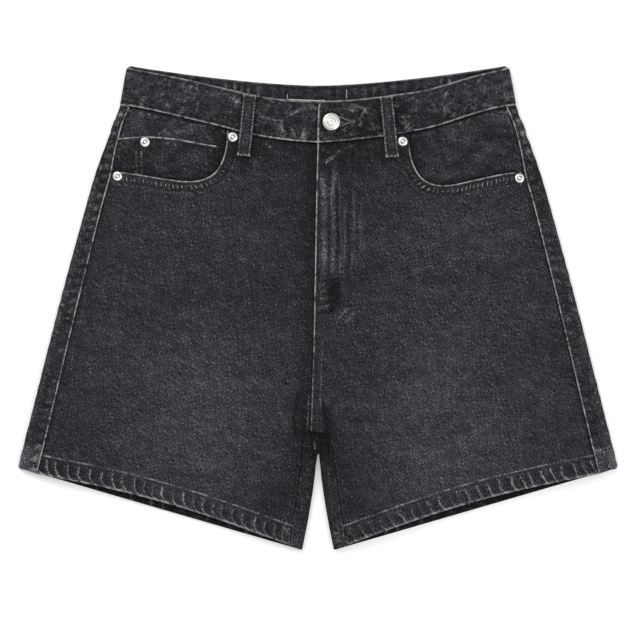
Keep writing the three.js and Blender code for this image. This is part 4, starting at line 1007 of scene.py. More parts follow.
for side, word in ((1, "left"), (-1, "right")):
    foot = np.array(FACING_FOOT)
    step = np.arange(len(foot))
    fine = np.linspace(0, len(foot) - 1, 40)
    foot = np.stack([through(list(zip(step, foot[:, k])))(fine) for k in (0, 1)], -1)[::-1]
    seam = side_seam_line(118.0, 189.0) - np.array([SEAM_GAP / 2, 0])
    top_x = np.linspace(foot[0, 0], seam[0, 0], 30)
    top = np.stack([top_x, front_seam_y(top_x * side) - SEAM_GAP], -1)
    seam[0], foot[-1] = top[-1], seam[-1]
    inner = np.linspace(top[0], foot[0], 8)
    u, v = divided((1.0, 90)), divided((1.0, 56))
    plan = fill_in(*(run_along((edge, 1)) for edge in (top, foot, inner, seam)), u, v)
    x, y = plan[..., 0], plan[..., 1]
    z, rubbed, fade_and_shade = facing_shape(x, y, side)
    piece = cloth_wall(
        f"pocket_facing_cloth_{word}", np.stack([x * side, y, z], -1), -side, DENIM / 2, DENIM / 2,
        rubbed, fade_and_shade, np.stack([x * side, y], -1),
    )
    piece.data.materials.append(denim)
    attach(piece, "root")
    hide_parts(f"pocket_facing_{word}")

# Coin pocket
# A small patch on the wearer's right facing, hemmed along its top with two rows of stitches, caught in the
# side seam, and stitched down by two upright rows near each end.
COIN_TOP = [(192.0, 161.0), (163.4, 162.7), (136.0, 160.8), (113.0, 156.6), (96.5, 153.8)]
COIN_CORNER = (93.4, 140.5)
COIN_OUTER_ROWS = (166.0, 171.0)
COIN_INNER_ROWS = (99.5, 104.0)
coin_top_y = through(COIN_TOP)
coin_x = np.linspace(96.5, 187.5, 40)
coin_top = np.stack([coin_x, coin_top_y(coin_x)], -1)
coin_seam = side_seam_line(134.5, 163.5, 16) - np.array([SEAM_GAP / 2, 0])
coin_mouth = shifted(pocket_mouth(-1), 0.5)
coin_mouth = coin_mouth[(coin_mouth[:, 1] < COIN_CORNER[1]) & (coin_mouth[:, 0] < 189.0)]
coin_foot = np.concatenate([[COIN_CORNER], coin_mouth, coin_seam[-1:]])
coin_top = np.concatenate([coin_top, coin_seam[:1]])
coin_inner = np.linspace(coin_top[0], coin_foot[0], 8)


def coin_shape(x, y):
    _, _, fade_and_shade = facing_shape(x, y, -1)
    z = front_panel(-x, y, -1) - FACING_DROP + DENIM + SEAM_GAP + 0.2 * drift(23, x / 9, y / 7)
    rubbed = 0.2 * np.clip(drift(24, x / 4.5, y / 6), 0, 1)
    along, down = beside(coin_top, x, y)
    down = -down
    relief = 0.15 * between(down, -2, 7.5, 1) - 0.2 * bell(down - 1.6, 0.5) - 0.2 * bell(down - 7.6, 0.7)
    rubbed = rubbed + 1.2 * bell(down - 0.4, 0.8) * broken(49, along)
    rubbed = rubbed + 0.3 * puckers(25, x, 6.5) * bell(down - 4.6, 2)
    for row_x in COIN_OUTER_ROWS:
        relief = relief - 0.22 * bell(x - row_x, 0.7) * (y < 151)
        rubbed = rubbed + 0.5 * bell(x - row_x - 1.4, 0.8) * (y < 151) * (0.7 + 0.5 * drift(26, y / 3))
    for row_x in COIN_INNER_ROWS:
        relief = relief - 0.2 * bell(x - row_x, 0.7)
        # Painted shade in each inner row's groove
        fade_and_shade = fade_and_shade - 0.3 * bell(x - row_x, 0.9)
        rubbed = rubbed + 0.35 * bell(x - row_x - 1.8, 0.9) * puckers(27, y, 4.5)
    relief = relief + 0.3 * puckers(28, y, 6.0) * bell(x - 182, 5)
    rubbed = rubbed + 0.25 * puckers(28, y, 6.0) * bell(x - 182, 4)
    return z, relief, rubbed, fade_and_shade - 0.22 + 0.14 * drift(29, x / 12, y / 9)


coin_edges = (run_along((edge, 1)) for edge in (coin_top, coin_foot, coin_inner, coin_seam))
plan = fill_in(*coin_edges, divided((1.0, 110)), divided((1.0, 40)))
x, y = plan[..., 0], plan[..., 1]
z, relief, rubbed, fade_and_shade = coin_shape(x, y)
coin = cloth_wall(
    "coin_pocket_cloth", np.stack([-x, y, z], -1), 1, DENIM / 2 + relief, DENIM / 2,
    rubbed, fade_and_shade, np.stack([-x, y], -1),
)
coin.data.materials.append(denim)
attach(coin, "root")
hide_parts("coin_pocket")


def on_coin(line):
    x, y = np.asarray(line, float).T
    z, relief, _, _ = coin_shape(x, y)
    return np.stack([-x, y, z + DENIM / 2 + relief + 0.12], -1)


coin_rows = [on_coin(shifted(coin_top[1:-2], -off)) for off in (1.6, 7.6)]
for places, high, low in ((COIN_OUTER_ROWS, 150.5, 128.0), (COIN_INNER_ROWS, 152.0, 131.0)):
    level = np.linspace(high, low, 12)
    for row_x in places:
        coin_rows.append(on_coin(np.stack([np.full(12, row_x), level], -1)))
sew("coin_pocket_stitching", coin_rows, thread)

# Back panels
# The seat and legs, which lie on the surface and come round both folds of each leg to the seams on the front.
# They meet at the seat seam behind, and the rise's end shows at the fork.
YOKE_SEAM = {"middle": 111.0, "side": 178.4, "bow": 1.2, "reach": 188.0}
BACK_HEM = {"middle": -229.2, "side": -152.0, "bow": 1.0, "slope": 0.2717}
SOFT_CORNER = 2.4
FELL_EXTRA = 0.7
FORK_RECESS = 1.8
FLAT_STEPS = np.concatenate([
    np.linspace(0, 0.06, 6),
    np.linspace(0.06, 0.94, 62)[1:],
    np.linspace(0.94, 1, 6)[1:],
])
TURN_STEPS = np.radians(np.linspace(-90, 90, 15))


def yoke_seam_y(x):
    across = (x / YOKE_SEAM["reach"]) ** YOKE_SEAM["bow"]
    return YOKE_SEAM["middle"] + (YOKE_SEAM["side"] - YOKE_SEAM["middle"]) * across


def round_the_side(inner_x, inner_y, side_y, bow):
    """Rows of the back: flat from an inner end to the side, round the fold, and on to the seam in front."""
    rows = (inner_x, inner_y, side_y, bow)
    inner_x, inner_y, side_y, bow = (np.asarray(row, float)[:, None] for row in rows)
    seam_x, seam_y = side_seam(side_y)
    lean = side_lean(side_y)
    length = np.hypot(1, lean)
    in_x, in_y = -1 / length, -lean / length
    # The hem's outer corner is rounded by wear
    worn_off = SOFT_CORNER * np.clip(1 - (side_y - BACK_HEM["side"]) / 3.0, 0, 1) ** 2
    centre_x, centre_y = side_fold(side_y) - worn_off + in_x * FOLD_RADIUS, side_y + in_y * FOLD_RADIUS
    q = FLAT_STEPS[None]
    flat_x = inner_x + (centre_x - inner_x) * q
    flat_y = inner_y + (centre_y - inner_y) * q**bow
    flat = np.stack([flat_x, flat_y, np.full_like(flat_x, DENIM / 2)], -1)
    angle = TURN_STEPS[None, 1:]
    reach = FOLD_RADIUS * np.cos(angle)
    turned_z = DENIM / 2 + FOLD_RADIUS + FOLD_RADIUS * np.sin(angle) + 0 * centre_x
    turned = np.stack([centre_x - in_x * reach, centre_y - in_y * reach, turned_z], -1)
    s = np.concatenate([np.linspace(0, 0.9, 12)[1:], [0.93, 0.96, 0.98, 1.0]])[None]
    strip_x = centre_x + (seam_x + SEAM_GAP / 2 - centre_x) * s
    strip_y = centre_y + (seam_y - centre_y) * s
    strip = np.stack([strip_x, strip_y, top_layer(strip_x, strip_y)], -1)
    return np.concatenate([flat, turned, strip], 1)


COLUMNS = {"flat": len(FLAT_STEPS), "turn": len(TURN_STEPS) - 1}


def strip_marks(grid, seed):
    """Puckers and rubbing of the strip between the side fold and the side seam, with its painted light and
    shade.
    """
    x, y = grid[..., 0], grid[..., 1]
    upper = np.zeros(x.shape, bool)
    upper[:, COLUMNS["flat"] + COLUMNS["turn"] // 2 :] = True
    seam_x, seam_y = side_seam_line(HEM_CORNER[1], SIDE[0][0], 60).T
    off = x - np.interp(y, seam_y[::-1], seam_x[::-1])
    ripple = puckers(seed, y, 9.6)
    lumps = puckers(seed + 9, y, 15.0) * bell(off - side_wrap(y), 4)
    raised = 0.45 * ripple * bell(off - 6, 4.5) + 0.25 * bell(off - 1.2, 1.2) + 0.5 * lumps
    relief = np.where(upper, raised, 0)
    worn_edge = 1.15 * bell(off - 0.5, 0.8) * broken(seed + 2, y) + 0.5 * ripple * bell(off - 5.5, 3.0)
    rubbed = np.where(upper, worn_edge, 0)
    rubbed = rubbed + 0.45 * upper * bell(off - side_wrap(y) + 2, 2.4) * puckers(seed + 3, y, 11)
    # Painted light on the puckers' crests and painted shade in their hollows, and painted light along the
    # side fold
    hollows = 0.6 * (ripple - 0.55) * bell(off - 6, 5)
    hollows = hollows + 0.32 * bell(off - side_wrap(y), 4) * ease((128 - y) / 20)
    corner = 0.55 * ease((-128 - y) / 8) - 0.3 * bell(y - 132, 18)
    rubbed = rubbed + 0.28 * upper * ease((-128 - y) / 8) * (0.6 + 0.6 * drift(seed + 6, off / 2.5, y / 2.5))
    fade_and_shade = np.where(upper, -0.11 + hollows + corner + 0.2 * drift(seed + 5, y / 13, off / 6), 0.0)
    return relief, rubbed, fade_and_shade


def leg_rows(side, count):
    """Smooth rows of the inner leg, from the fork down to the hem."""
    rows = FORK[side] + INNER_LEG
    place = [0, 0.35, 0.8, 1.5, 2.2, 3.4, 5.6, 7.5, 9.0]
    at = np.concatenate([np.linspace(0, 2.2, 16), np.linspace(2.2, 9.0, count)[1:]])
    return [through(list(zip(place, [row[k] for row in rows])))(at) for k in range(5)]


def round_the_leg(fold_x, fold_y, seam_x, seam_y, turn):
    """The inner strip on the front and the inner fold of each leg row, and where the flat begins."""
    rows = (fold_x, fold_y, seam_x, seam_y, turn)
    fold_x, fold_y, seam_x, seam_y, turn = (np.asarray(row, float)[:, None] for row in rows)
    in_x, in_y = np.cos(np.radians(turn)), np.sin(np.radians(turn))
    centre_x, centre_y = fold_x + in_x * FOLD_RADIUS, fold_y + in_y * FOLD_RADIUS
    s = np.concatenate([[1.0, 0.98, 0.95, 0.91], np.linspace(0.85, 0.08, 9)])[None]
    x = centre_x + (seam_x - SEAM_GAP / 2 - centre_x) * s
    y = centre_y + (seam_y - centre_y) * s
    near = ease((14 - np.abs(x + 1)) / 8) * ease((y + 150) / 12)
    strip = np.stack([x, y, top_layer(x, y) - FORK_RECESS * near * s], -1)
    angle = TURN_STEPS[::-1][None, :-1]
    reach = FOLD_RADIUS * np.cos(angle)
    z = DENIM / 2 + FOLD_RADIUS + FOLD_RADIUS * np.sin(angle) + 0 * centre_x
    turned = np.stack([centre_x - in_x * reach, centre_y - in_y * reach, z], -1)
    return np.concatenate([strip, turned], 1), centre_x[:, 0], centre_y[:, 0]


for side, word in ((1, "left"), (-1, "right")):
    felled_rows = [YOKE_SEAM["middle"] - SEAM_GAP, 110.2, 109.2, 107, 104, 101, 100.4, 99.6, 99]
    down = np.concatenate([felled_rows, np.linspace(97.5, -118, 134)])
    share = lambda y: (YOKE_SEAM["middle"] - y) / (YOKE_SEAM["middle"] - BACK_HEM["middle"])
    side_y = lambda y: YOKE_SEAM["side"] + (BACK_HEM["side"] - YOKE_SEAM["side"]) * share(y)
    bow = lambda y: YOKE_SEAM["bow"] + (BACK_HEM["bow"] - YOKE_SEAM["bow"]) * share(y)
    rise = round_the_side(np.full_like(down, SEAM_GAP / 2), down, side_y(down), bow(down))
    fold_x, fold_y, seam_x, seam_y, turn = leg_rows(side, 66)
    inner, start_x, start_y = round_the_leg(fold_x, fold_y, seam_x, seam_y, turn)
    leg_side = np.append(side_y(fold_y[:-1]), BACK_HEM["side"])
    leg = np.concatenate([inner, round_the_side(start_x, start_y, leg_side, bow(fold_y))], 1)
    blank = np.full((len(rise), inner.shape[1], 3), np.nan)
    grid = np.concatenate([np.concatenate([blank, rise], 1), leg])
    present = ~np.isnan(grid[..., 0])
    grid = np.nan_to_num(grid)
    x, y, z = grid[..., 0], grid[..., 1], grid[..., 2]

    outer_part = inner.shape[1]
    relief, rubbed, fade_and_shade = np.zeros(x.shape), np.zeros(x.shape), np.zeros(x.shape)
    marks = strip_marks(grid[:, outer_part:], 101 + side)
    relief[:, outer_part:], rubbed[:, outer_part:], fade_and_shade[:, outer_part:] = marks
    flat = np.zeros(x.shape, bool)
    flat[:, outer_part : outer_part + COLUMNS["flat"]] = True
    # The hidden underside: shallow troughs that rise from the surface, rubbed seams and a roped hem
    hem_x = np.linspace(0, 284, 60)
    along, up = beside(np.stack([hem_x, BACK_HEM["middle"] + hem_x * BACK_HEM["slope"]], -1), x, y)
    rope_count, rope_rub, swell = roping(121 + side, along, up, side)
    hollow = 0.5 * np.clip(drift(131 + side, x / 34, y / 16), 0, 1) * ease((up - 20) / 20)
    hollow = hollow * ease((side_fold(y) - x - 8) / 20) * ease((x - 6) / 18)
    z = np.where(flat, z + hollow, z)
    relief = relief - flat * 0.3 * (1 - swell) * between(up, -3, 15.5, 3)
    rubbed = rubbed + flat * 0.7 * bell(up - 0.3, 0.9) * broken(124, along, 5)
    rubbed = rubbed + flat * 0.6 * bell(up - 18.4, 0.9) * broken(126, along, 5)
    yoke_off = yoke_seam_y(x) - y
    yoke_line = 0.8 * bell(yoke_off - 0.8, 0.9) * broken(128, x)
    rubbed = rubbed + flat * (yoke_line + 0.4 * puckers(141, x, 7) * bell(yoke_off - 6, 2.5))
    seat_line = 0.75 * bell(x - 0.5, 0.9) * broken(129, y) + 0.35 * puckers(142, y, 8) * bell(x - 5, 2)
    rubbed = rubbed + flat * (y > SADDLE_Y) * seat_line
    seat = 0.4 * np.exp(-(((x - 95) / 70) ** 2) - ((y - 10) / 80) ** 2)
    fade_and_shade = fade_and_shade + flat * (seat + 0.14 * drift(143, x / 40, y / 22) - 0.15)
    # The yoke's seam is felled onto the panel, so the top of the strip on the front is thicker
    felled = np.zeros(x.shape)
    felled[: np.argmax(down < 99.7), outer_part + COLUMNS["flat"] + COLUMNS["turn"] // 2 :] = FELL_EXTRA
    rubbed = rubbed + 0.7 * (felled > 0) * (bell(y - 110, 1.2) + 0.6 * bell(y - 101, 1.0))
    along, off = beside(inseam_line(side), x, y)
    off = np.abs(off)
    inner_strip = np.zeros(x.shape, bool)
    inner_strip[:, : inner.shape[1]] = True
    ripple = puckers(151 + side, along, 9.0)
    edge_line = 0.4 * bell(off - 0.4, 0.8) * (y < -160) * broken(153, along, 3)
    rubbed = rubbed + inner_strip * (edge_line + 0.35 * ripple * bell(off - 6, 3))
    # Painted shade towards the gap between the legs and at the fork, with painted light on the fork's ridge
    painted_gap_shade = 0.1 + 0.25 * ease((y + 205) / 60)
    fork = ease((y + 150) / 14)
    ridge = bell(x * side + 1.2, 2.2) * fork
    painted_gap_shade = painted_gap_shade + fork * (0.95 * bell(x, 9.5) + 0.1 - 0.9 * ridge)
    relief = relief + inner_strip * 0.8 * ridge
    from_gap = x - inner_fold(np.minimum(y, LEG_TOP))
    painted_gap_shade = painted_gap_shade + 0.25 * np.exp(-np.maximum(from_gap, 0) / 4)
    fade_and_shade = fade_and_shade + inner_strip * (0.15 * drift(154, x / 5, y / 7) - painted_gap_shade - fork_shade(x * side, y))
    if side < 0:
        in_fork = inner_strip * between(y, -135, -117, 5)
        rubbed = rubbed + in_fork * 0.75 * bell(x - 3.0, 0.9) * broken(156, y, 3)
    hem_block = between(y, -260, back_hem_y(np.abs(x)) + 19, 1.2)
    block = 0.25 if side > 0 else 0.2
    rubbed = rubbed + block * inner_strip * hem_block * (0.6 + 0.5 * drift(152, x / 2, y / 2))
    # The lining side shows only inside the hem, where the front shades it
    folds = puckers(155 + side, x, 13.0)
    shaded = np.exp(-np.clip(front_hem_y(x) - y, 0, 60) / 2.4)
    lining = 0.5 * folds**3 * between(up, -3, 16, 2), -0.35 + 0.5 * (folds - 0.5) - 1.1 * shaded
    relief = np.where(z < DENIM, np.minimum(relief, 0), relief)
    piece = cloth_wall(
        f"back_panel_{word}",
        np.stack([x * side, y, z], -1),
        side,
        DENIM / 2 + relief + felled,
        DENIM / 2 + HEM_EXTRA * ease((HEM_DEPTH - up) / 1.5 + 0.5),
        rubbed,
        fade_and_shade,
        np.stack([x * side, y], -1),
        present,
        lining,
        (rope_count, rope_rub * flat),
    )
    piece.data.materials.append(denim)
    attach(piece, "root")
    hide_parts(f"back_{word}")

# Yokes
# A shaped piece of the same denim across each hip. It is lapped over the back panel at a felled seam 11 mm
# deep, and sewn to the band above.
BACK_SEAM = {"middle": 173.1, "side": 193.4, "bow": 1.5}
for side, word in ((1, "left"), (-1, "right")):
    v = divided((1.0, 44))
    mix = lambda start, end: start + (end - start) * v
    grid = round_the_side(
        np.full_like(v, SEAM_GAP / 2),
        mix(BACK_SEAM["middle"] - SEAM_GAP, YOKE_SEAM["middle"]),
        mix(BACK_SEAM["side"] - 3 * SEAM_GAP, YOKE_SEAM["side"]),
        mix(BACK_SEAM["bow"], YOKE_SEAM["bow"]),
    )
    relief, rubbed, fade_and_shade = strip_marks(grid, 161 + side)
    x, y, z = grid[..., 0], grid[..., 1], grid[..., 2]
    foot = (1 - v[:, None]) * 62
    rubbed = rubbed + 0.7 * bell(foot, 1.4) * broken(165, x) + 0.3 * bell(x - 0.5, 0.9)
    fade_and_shade = fade_and_shade + 0.14 * drift(163, x / 20, y / 12) - 0.35 * bell(foot - 3, 1.6)
    piece = cloth_wall(
        f"yoke_cloth_{word}", np.stack([x * side, y, z], -1), side, DENIM / 2 + relief, DENIM / 2,
        rubbed, fade_and_shade, np.stack([x * side, y], -1),
    )
    piece.data.materials.append(denim)
    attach(piece, "root")
    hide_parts(f"yoke_{word}")

# Waistband
# One straight band of doubled denim, edge-stitched all round. Its left end laps over the right one at the
# front, with a rounded corner, and its lower edge stands over the panels.
BAND = 2.6
BACK_TOP = {"middle": 211.1, "side": 229.2, "bow": 1.55}
BAND_FOLD = {"seam_x": 186.7, "top_x": 180.5}
BAND_LAP = {"under": 26.0, "lift": 1.5, "run": 34.0, "start": 12.0}
LAP_CORNER = 6.5


def band_layer(x, y, side):
    near = 1 - ease((x * side - BAND_LAP["start"] - BAND_LAP["run"]) / BAND_LAP["run"])
    return BAND / 2 + 2 * FOLD_RADIUS + crown(x, y) + side * BAND_LAP["lift"] * near


def front_top_y(x):
    return band_top(np.abs(x)) + sag(x)


# Creases in the band's front: both ends, how high each stands (troughs below zero), half width and rubbing
BAND_CREASES = [
    (-61.0, 189.5, -42.0, 181.2, -0.4, 1.6, 0.0),
    (-60.0, 183.0, -32.0, 176.6, 0.35, 1.3, 0.55),
    (-36.0, 178.0, -12.0, 190.5, 0.35, 1.2, 0.5),
    (-35.2, 180.0, -33.0, 165.0, 0.35, 1.1, 0.55),
    (-28.0, 173.0, -21.0, 164.5, 0.3, 1.3, 0.65),
    (-13.2, 172.5, -15.0, 161.5, 0.3, 1.2, 0.5),
    (-52.0, 199.6, -39.0, 194.8, 0.3, 1.2, 0.45),
    (33.0, 192.5, 47.5, 187.6, 0.3, 1.3, 0.45),
    (41.4, 185.5, 40.2, 169.0, 0.3, 1.2, 0.55),
    (47.0, 190.5, 41.0, 182.0, 0.3, 1.1, 0.25),
    (21.0, 171.5, 28.0, 166.0, 0.3, 1.3, 0.4),
]


def band_relief(x, y, side):
    """The height of the band's face over its middle, its rubbing, and its fading with painted shade, on the
    front.
    """
    low, high = front_seam_y(x), front_top_y(x)
    up, down = y - low, high - y
    seed = 171 + side
    ripple_low, ripple_high = puckers(seed, x, 11.0), puckers(seed + 4, x, 13.0)
    relief = 0.3 * ripple_low * bell(up - 6, 5) + 0.3 * ripple_high * bell(down - 7, 6)
    relief = relief + 0.25 * drift(175, x / 9, y / 6)
    relief = relief - 0.25 * bell(up - 2.0, 0.6) - 0.25 * bell(down - 2.2, 0.6)
    blotch = drift(176, x / 7.5, y / 5.5) + 0.7 * drift(177, x / 2.6, y / 2.6)
    calm = 1 - 0.6 * bell(x - 42, 24)
    streak = calm * np.clip(drift(183, (x - 0.8 * y) / 1.5, (x + y) / 8), 0, 1)
    streak = streak * np.clip(0.2 + drift(184, x / 11, y / 9), 0, 1)
    thread_lines = np.clip(drift(196, (x + 2 * y) / 1.7, (x - y) / 11) - 0.1, 0, 1)
    low_wear = 1 - 0.45 * between(x, 10, 62, 8) - 0.7 * between(x, 72, 93, 6)
    rubbed = 1.1 * low_wear * bell(up - 0.5, 0.8) * broken(seed + 6, x)
    rubbed = rubbed + 1.2 * bell(down - 0.6, 0.85) * broken(seed + 8, x)
    rubbed = rubbed + 0.24 * np.clip(blotch - 0.1, 0, 1) + 0.54 * streak + 0.3 * thread_lines
    rubbed = rubbed + 0.55 * ripple_low**2 * bell(up - 6, 4) * (0.6 + 0.6 * drift(178, x / 3, y / 3))
    rubbed = rubbed + 0.3 * ripple_high * bell(down - 8, 4) * (0.5 + 0.6 * drift(179, x / 4, y / 3))
    # Painted shade in the grooves along both edges and in the hollows between the lower puckers
    fade_and_shade = -0.1 + 0.34 * blotch - 0.7 * bell(up - 2.4, 0.8) - 0.6 * bell(down - 2.6, 0.8)
    fade_and_shade = fade_and_shade - 0.3 * (1 - ripple_low) * bell(up - 7, 5)
    fade_and_shade = fade_and_shade - (0.62 * bell(x - 42, 22) + 0.5 * bell(x - 78, 9)) * bell(up - 16, 20)
    fade_and_shade = fade_and_shade + 0.25 * bell(np.abs(x) - 174, 16) + 0.25 * bell(x + 99, 14) * bell(down - 8, 10)
    # Painted shadow along both sides of each front belt loop
    loop_x = 64.5 + 6.0 * np.clip((high - y) / 60, 0, 1)
    fade_and_shade = fade_and_shade - 0.9 * bell(np.abs(np.abs(x) - loop_x) - 7.0, 1.8)
    for row in BAND_CREASES:
        share = crease(x, y, row)
        relief = relief + row[4] * share
        rubbed = rubbed + row[6] * share * (0.75 + 0.5 * drift(197, x / 2.5, y / 2.5))
        # Painted shade in the creases' troughs
        fade_and_shade = fade_and_shade + min(row[4], 0) * 1.2 * share
    if side > 0:
        # Painted shadow in a ring round the button
        from_button = np.hypot(x - 12.7, y - 176.6)
        fade_and_shade = fade_and_shade - 0.6 * bell(from_button - 9.0, 2.0)
    return relief, rubbed, fade_and_shade


def band_end(h):
    """Where the band's side fold begins at a share h of its height, with its upper corner rounded by wear."""
    worn_off = SOFT_CORNER * np.clip((h - 0.93) / 0.07, 0, 1) ** 2
    return BAND_FOLD["seam_x"] + (BAND_FOLD["top_x"] - BAND_FOLD["seam_x"]) * h - FOLD_RADIUS - worn_off


def band_front(q, h, side):
    """Front of the band at a share q of the way round to the side and h of the way up."""
    end_x = band_end(h)
    start = centre_front(170.0) + 0.7 * ease((h - 0.1) / 0.8) if side > 0 else -BAND_LAP["under"] + 0 * h
    corner = np.clip((h * BAND_HEIGHT - BAND_HEIGHT + LAP_CORNER) / LAP_CORNER, 0, 1)
    start = start + (LAP_CORNER * (1 - np.sqrt(1 - corner**2)) if side > 0 else 0)
    x = side * (start + (end_x - start) * q)
    y = front_seam_y(x) + (front_top_y(x) - front_seam_y(x)) * h
    return x, y, band_layer(x, y, side)


def level_of(line, x):
    """The height in plan of one of the back's lines, such as the band's top edge, at x."""
    return line["middle"] + (line["side"] - line["middle"]) * (np.abs(x) / BAND_FOLD["top_x"]) ** line["bow"]


def band_back(q, h, side):
    x = band_end(h) * q
    level = lambda line: line["middle"] + (line["side"] - line["middle"]) * q ** line["bow"]
    return side * x, level(BACK_SEAM) + (level(BACK_TOP) - level(BACK_SEAM)) * h, BAND / 2 + 0 * x


# The back belt loops lie pressed into the band's underside
BACK_LOOP = {"width": 12.2, "depth": 1.2, "foot_clear": 1.5, "top_clear": 0.9}
BACK_LOOPS = {"middle": 0.0, "left": 108.0, "right": -108.0}


def back_loop_place(x):
    """A back loop's middle in plan, its length, and how far it is turned with the band's slope."""

    def at(line, x):
        out = (abs(x) / BAND_FOLD["seam_x"]) ** line["bow"]
        return line["middle"] + (line["side"] - line["middle"]) * out

    foot = at(BACK_SEAM, x) + BACK_LOOP["foot_clear"]
    top = at(BACK_TOP, x) - BACK_LOOP["top_clear"]
    turn = math.atan2(at(BACK_TOP, abs(x) + 5) - at(BACK_TOP, abs(x) - 5), 10) * np.sign(x)
    return (foot + top) / 2, top - foot - abs(math.sin(turn)) * BACK_LOOP["width"], turn


def in_back_loop(place, x, y):
    """How far a point of the band lies in a back loop's recess: 1 inside it, 0 outside."""
    middle_y, length, turn = back_loop_place(place)
    across = (x - place) * math.cos(turn) + (y - middle_y) * math.sin(turn)
    up = (y - middle_y) * math.cos(turn) - (x - place) * math.sin(turn)
    wide, long = BACK_LOOP["width"] / 2 + 0.8, length / 2 + 0.8
    return between(across, -wide, wide, 1.0) * between(up, -long, long, 1.0)


BAND_HEIGHT = 38.0
heights = np.concatenate([[1, 0.985, 0.965, 0.94], np.linspace(0.91, 0.09, 30), [0.06, 0.035, 0.015, 0]])
heights = heights[:, None]
front_steps = np.concatenate([[0, 0.003, 0.007, 0.012, 0.018], np.linspace(0.025, 1, 150)])[None]
back_steps = np.linspace(0, 1, 200)[None]
band_grid, band_marks = [], []
for side in (1, -1):
    x, y, z = band_front(front_steps, heights, side)
    relief, rubbed, fade_and_shade = band_relief(x, y, side)
    if side > 0:
        off = x - band_front(np.zeros((1, 1)), heights, 1)[0]
        rubbed = rubbed + 1.1 * bell(off - 0.4, 0.85) * broken(185, y)
        relief = relief - 0.25 * bell(off - 2.3, 0.6)
        # Painted shade in the groove beside the lap's edge
        fade_and_shade = fade_and_shade - 0.5 * bell(off - 2.5, 0.8)
    else:
        # Painted shadow of the lapping end on the under end
        fade_and_shade = fade_and_shade - 1.0 * bell(x, 2.0)
    front = np.stack([x, y, z], -1), np.stack([relief, rubbed, fade_and_shade, 0 * x, 0 * x - 0.4], -1)
    _, low_y, _ = band_back(np.ones((1, 1)), heights, side)
    edge_x, edge_y = x[:, -1:], y[:, -1:]
    angle = TURN_STEPS[::-1][None, 1:-1]
    turned = np.stack([
        edge_x + side * FOLD_RADIUS * np.cos(angle),
        low_y + (edge_y - low_y) * (1 + np.sin(angle)) / 2,
        BAND / 2 + FOLD_RADIUS + FOLD_RADIUS * np.sin(angle) + 0 * edge_x,
    ], -1)
    marks = np.repeat(front[1][:, -1:], turned.shape[1], 1)
    marks[..., 0] *= ease((1 + np.sin(angle)) / 2)
    x, y, z = band_back(back_steps[:, ::-1], heights, side)
    up = heights * BAND_HEIGHT
    down = (1 - heights) * BAND_HEIGHT
    rubbed = 0.7 * bell(up - 0.4, 0.8) + 0.8 * bell(down - 0.5, 0.9)
    rubbed = rubbed + 0.4 * np.clip(drift(181, x / 7, y / 5), 0, 1)
    # The band's inside shows above its front, with upright puckers from the topstitching. shade is painted
    # light and
    # shade there: lighter on the puckers' crests and darker in their hollows, with a darker line under its
    # top edge, and the front's painted shadow just above the front's edge.
    ribs = puckers(186, x, 9.0)
    inside = 0.85 * ribs**3 * between(down, 3, 30, 4) * (0.8 + 0.4 * drift(187, x / 3, y / 5))
    inside = inside + 0.8 * bell(down - 0.5, 0.8) * broken(188, x, 4)
    shade = 0.14 + 0.3 * ease((np.abs(x) - 76) / 26) + 0.5 * (ribs - 0.5)
    shade = shade - 0.5 * bell(down - 2.6, 0.9) + 0.25 * drift(189, x / 6, y / 5)
    seen = down - (level_of(BACK_TOP, x) - front_top_y(x))
    shade = shade - 0.6 * np.exp(-np.maximum(-seen, 0) / 1.3)
    covered = sum(in_back_loop(place, x, y) for place in BACK_LOOPS.values())
    recess = -(BACK_LOOP["depth"] + SEAM_GAP) * covered
    fade_and_shade = -0.15 + 0.25 * drift(182, x / 9, y / 7)
    back_mark = np.stack([recess + 0 * x, rubbed + 0 * x, fade_and_shade, inside, shade], -1)
    back = np.stack([x, y, z], -1), back_mark
    pieces = [front[0], turned, back[0]], [front[1], marks, back[1]]
    if side < 0:
        pieces = [part[:, ::-1] for part in pieces[0][::-1]], [part[:, ::-1] for part in pieces[1][::-1]]
        pieces = [pieces[0][0][:, 1:], *pieces[0][1:]], [pieces[1][0][:, 1:], *pieces[1][1:]]
    band_grid += pieces[0]
    band_marks += pieces[1]
middle, marks = np.concatenate(band_grid, 1), np.concatenate(band_marks, 1)
steps = np.linalg.norm(np.diff(middle, axis=1), axis=-1)
length = np.concatenate([np.zeros((len(steps), 1)), np.cumsum(steps, 1)], 1)
grain = np.stack([length, np.broadcast_to(heights * BAND_HEIGHT, length.shape)], -1)
banding = washed_denim("waistband_denim", marbling=0.7, marble_size=6.0, tone=0.97)
band = cloth_wall(
    "waistband_cloth", middle, -1, BAND / 2 + marks[..., 0], BAND / 2, marks[..., 1], marks[..., 2], grain,
    lining=(marks[..., 3], marks[..., 4]),
)
band.data.materials.append(banding)
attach(band, "root")
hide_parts("waistband")


def on_band(line, side, lift=0.12):
    x, y = np.asarray(line, float).T
    relief, _, _ = band_relief(x, y, side)
    return np.stack([x, y, band_layer(x, y, side) + BAND / 2 + relief + lift], -1)


band_rows = []
for side, start in ((1, 4.0), (-1, 1.0)):
    x = np.linspace(start, 176, 120) * side
    band_rows.append(on_band(np.stack([x, front_seam_y(x) + 2.0], -1), side))
    x = np.linspace(start + (LAP_CORNER - 2 if side > 0 else 0), 170, 120) * side
    band_rows.append(on_band(np.stack([x, front_top_y(x) - 2.2], -1), side))
end_h = np.linspace(0.07, 0.84, 14)
end_x = band_front(np.zeros(1), end_h, 1)[0] + 2.2
end_y = front_seam_y(end_x) + (front_top_y(end_x) - front_seam_y(end_x)) * end_h
band_rows.append(on_band(np.stack([end_x, end_y], -1), 1))
sew("waistband_stitching", band_rows, thread)

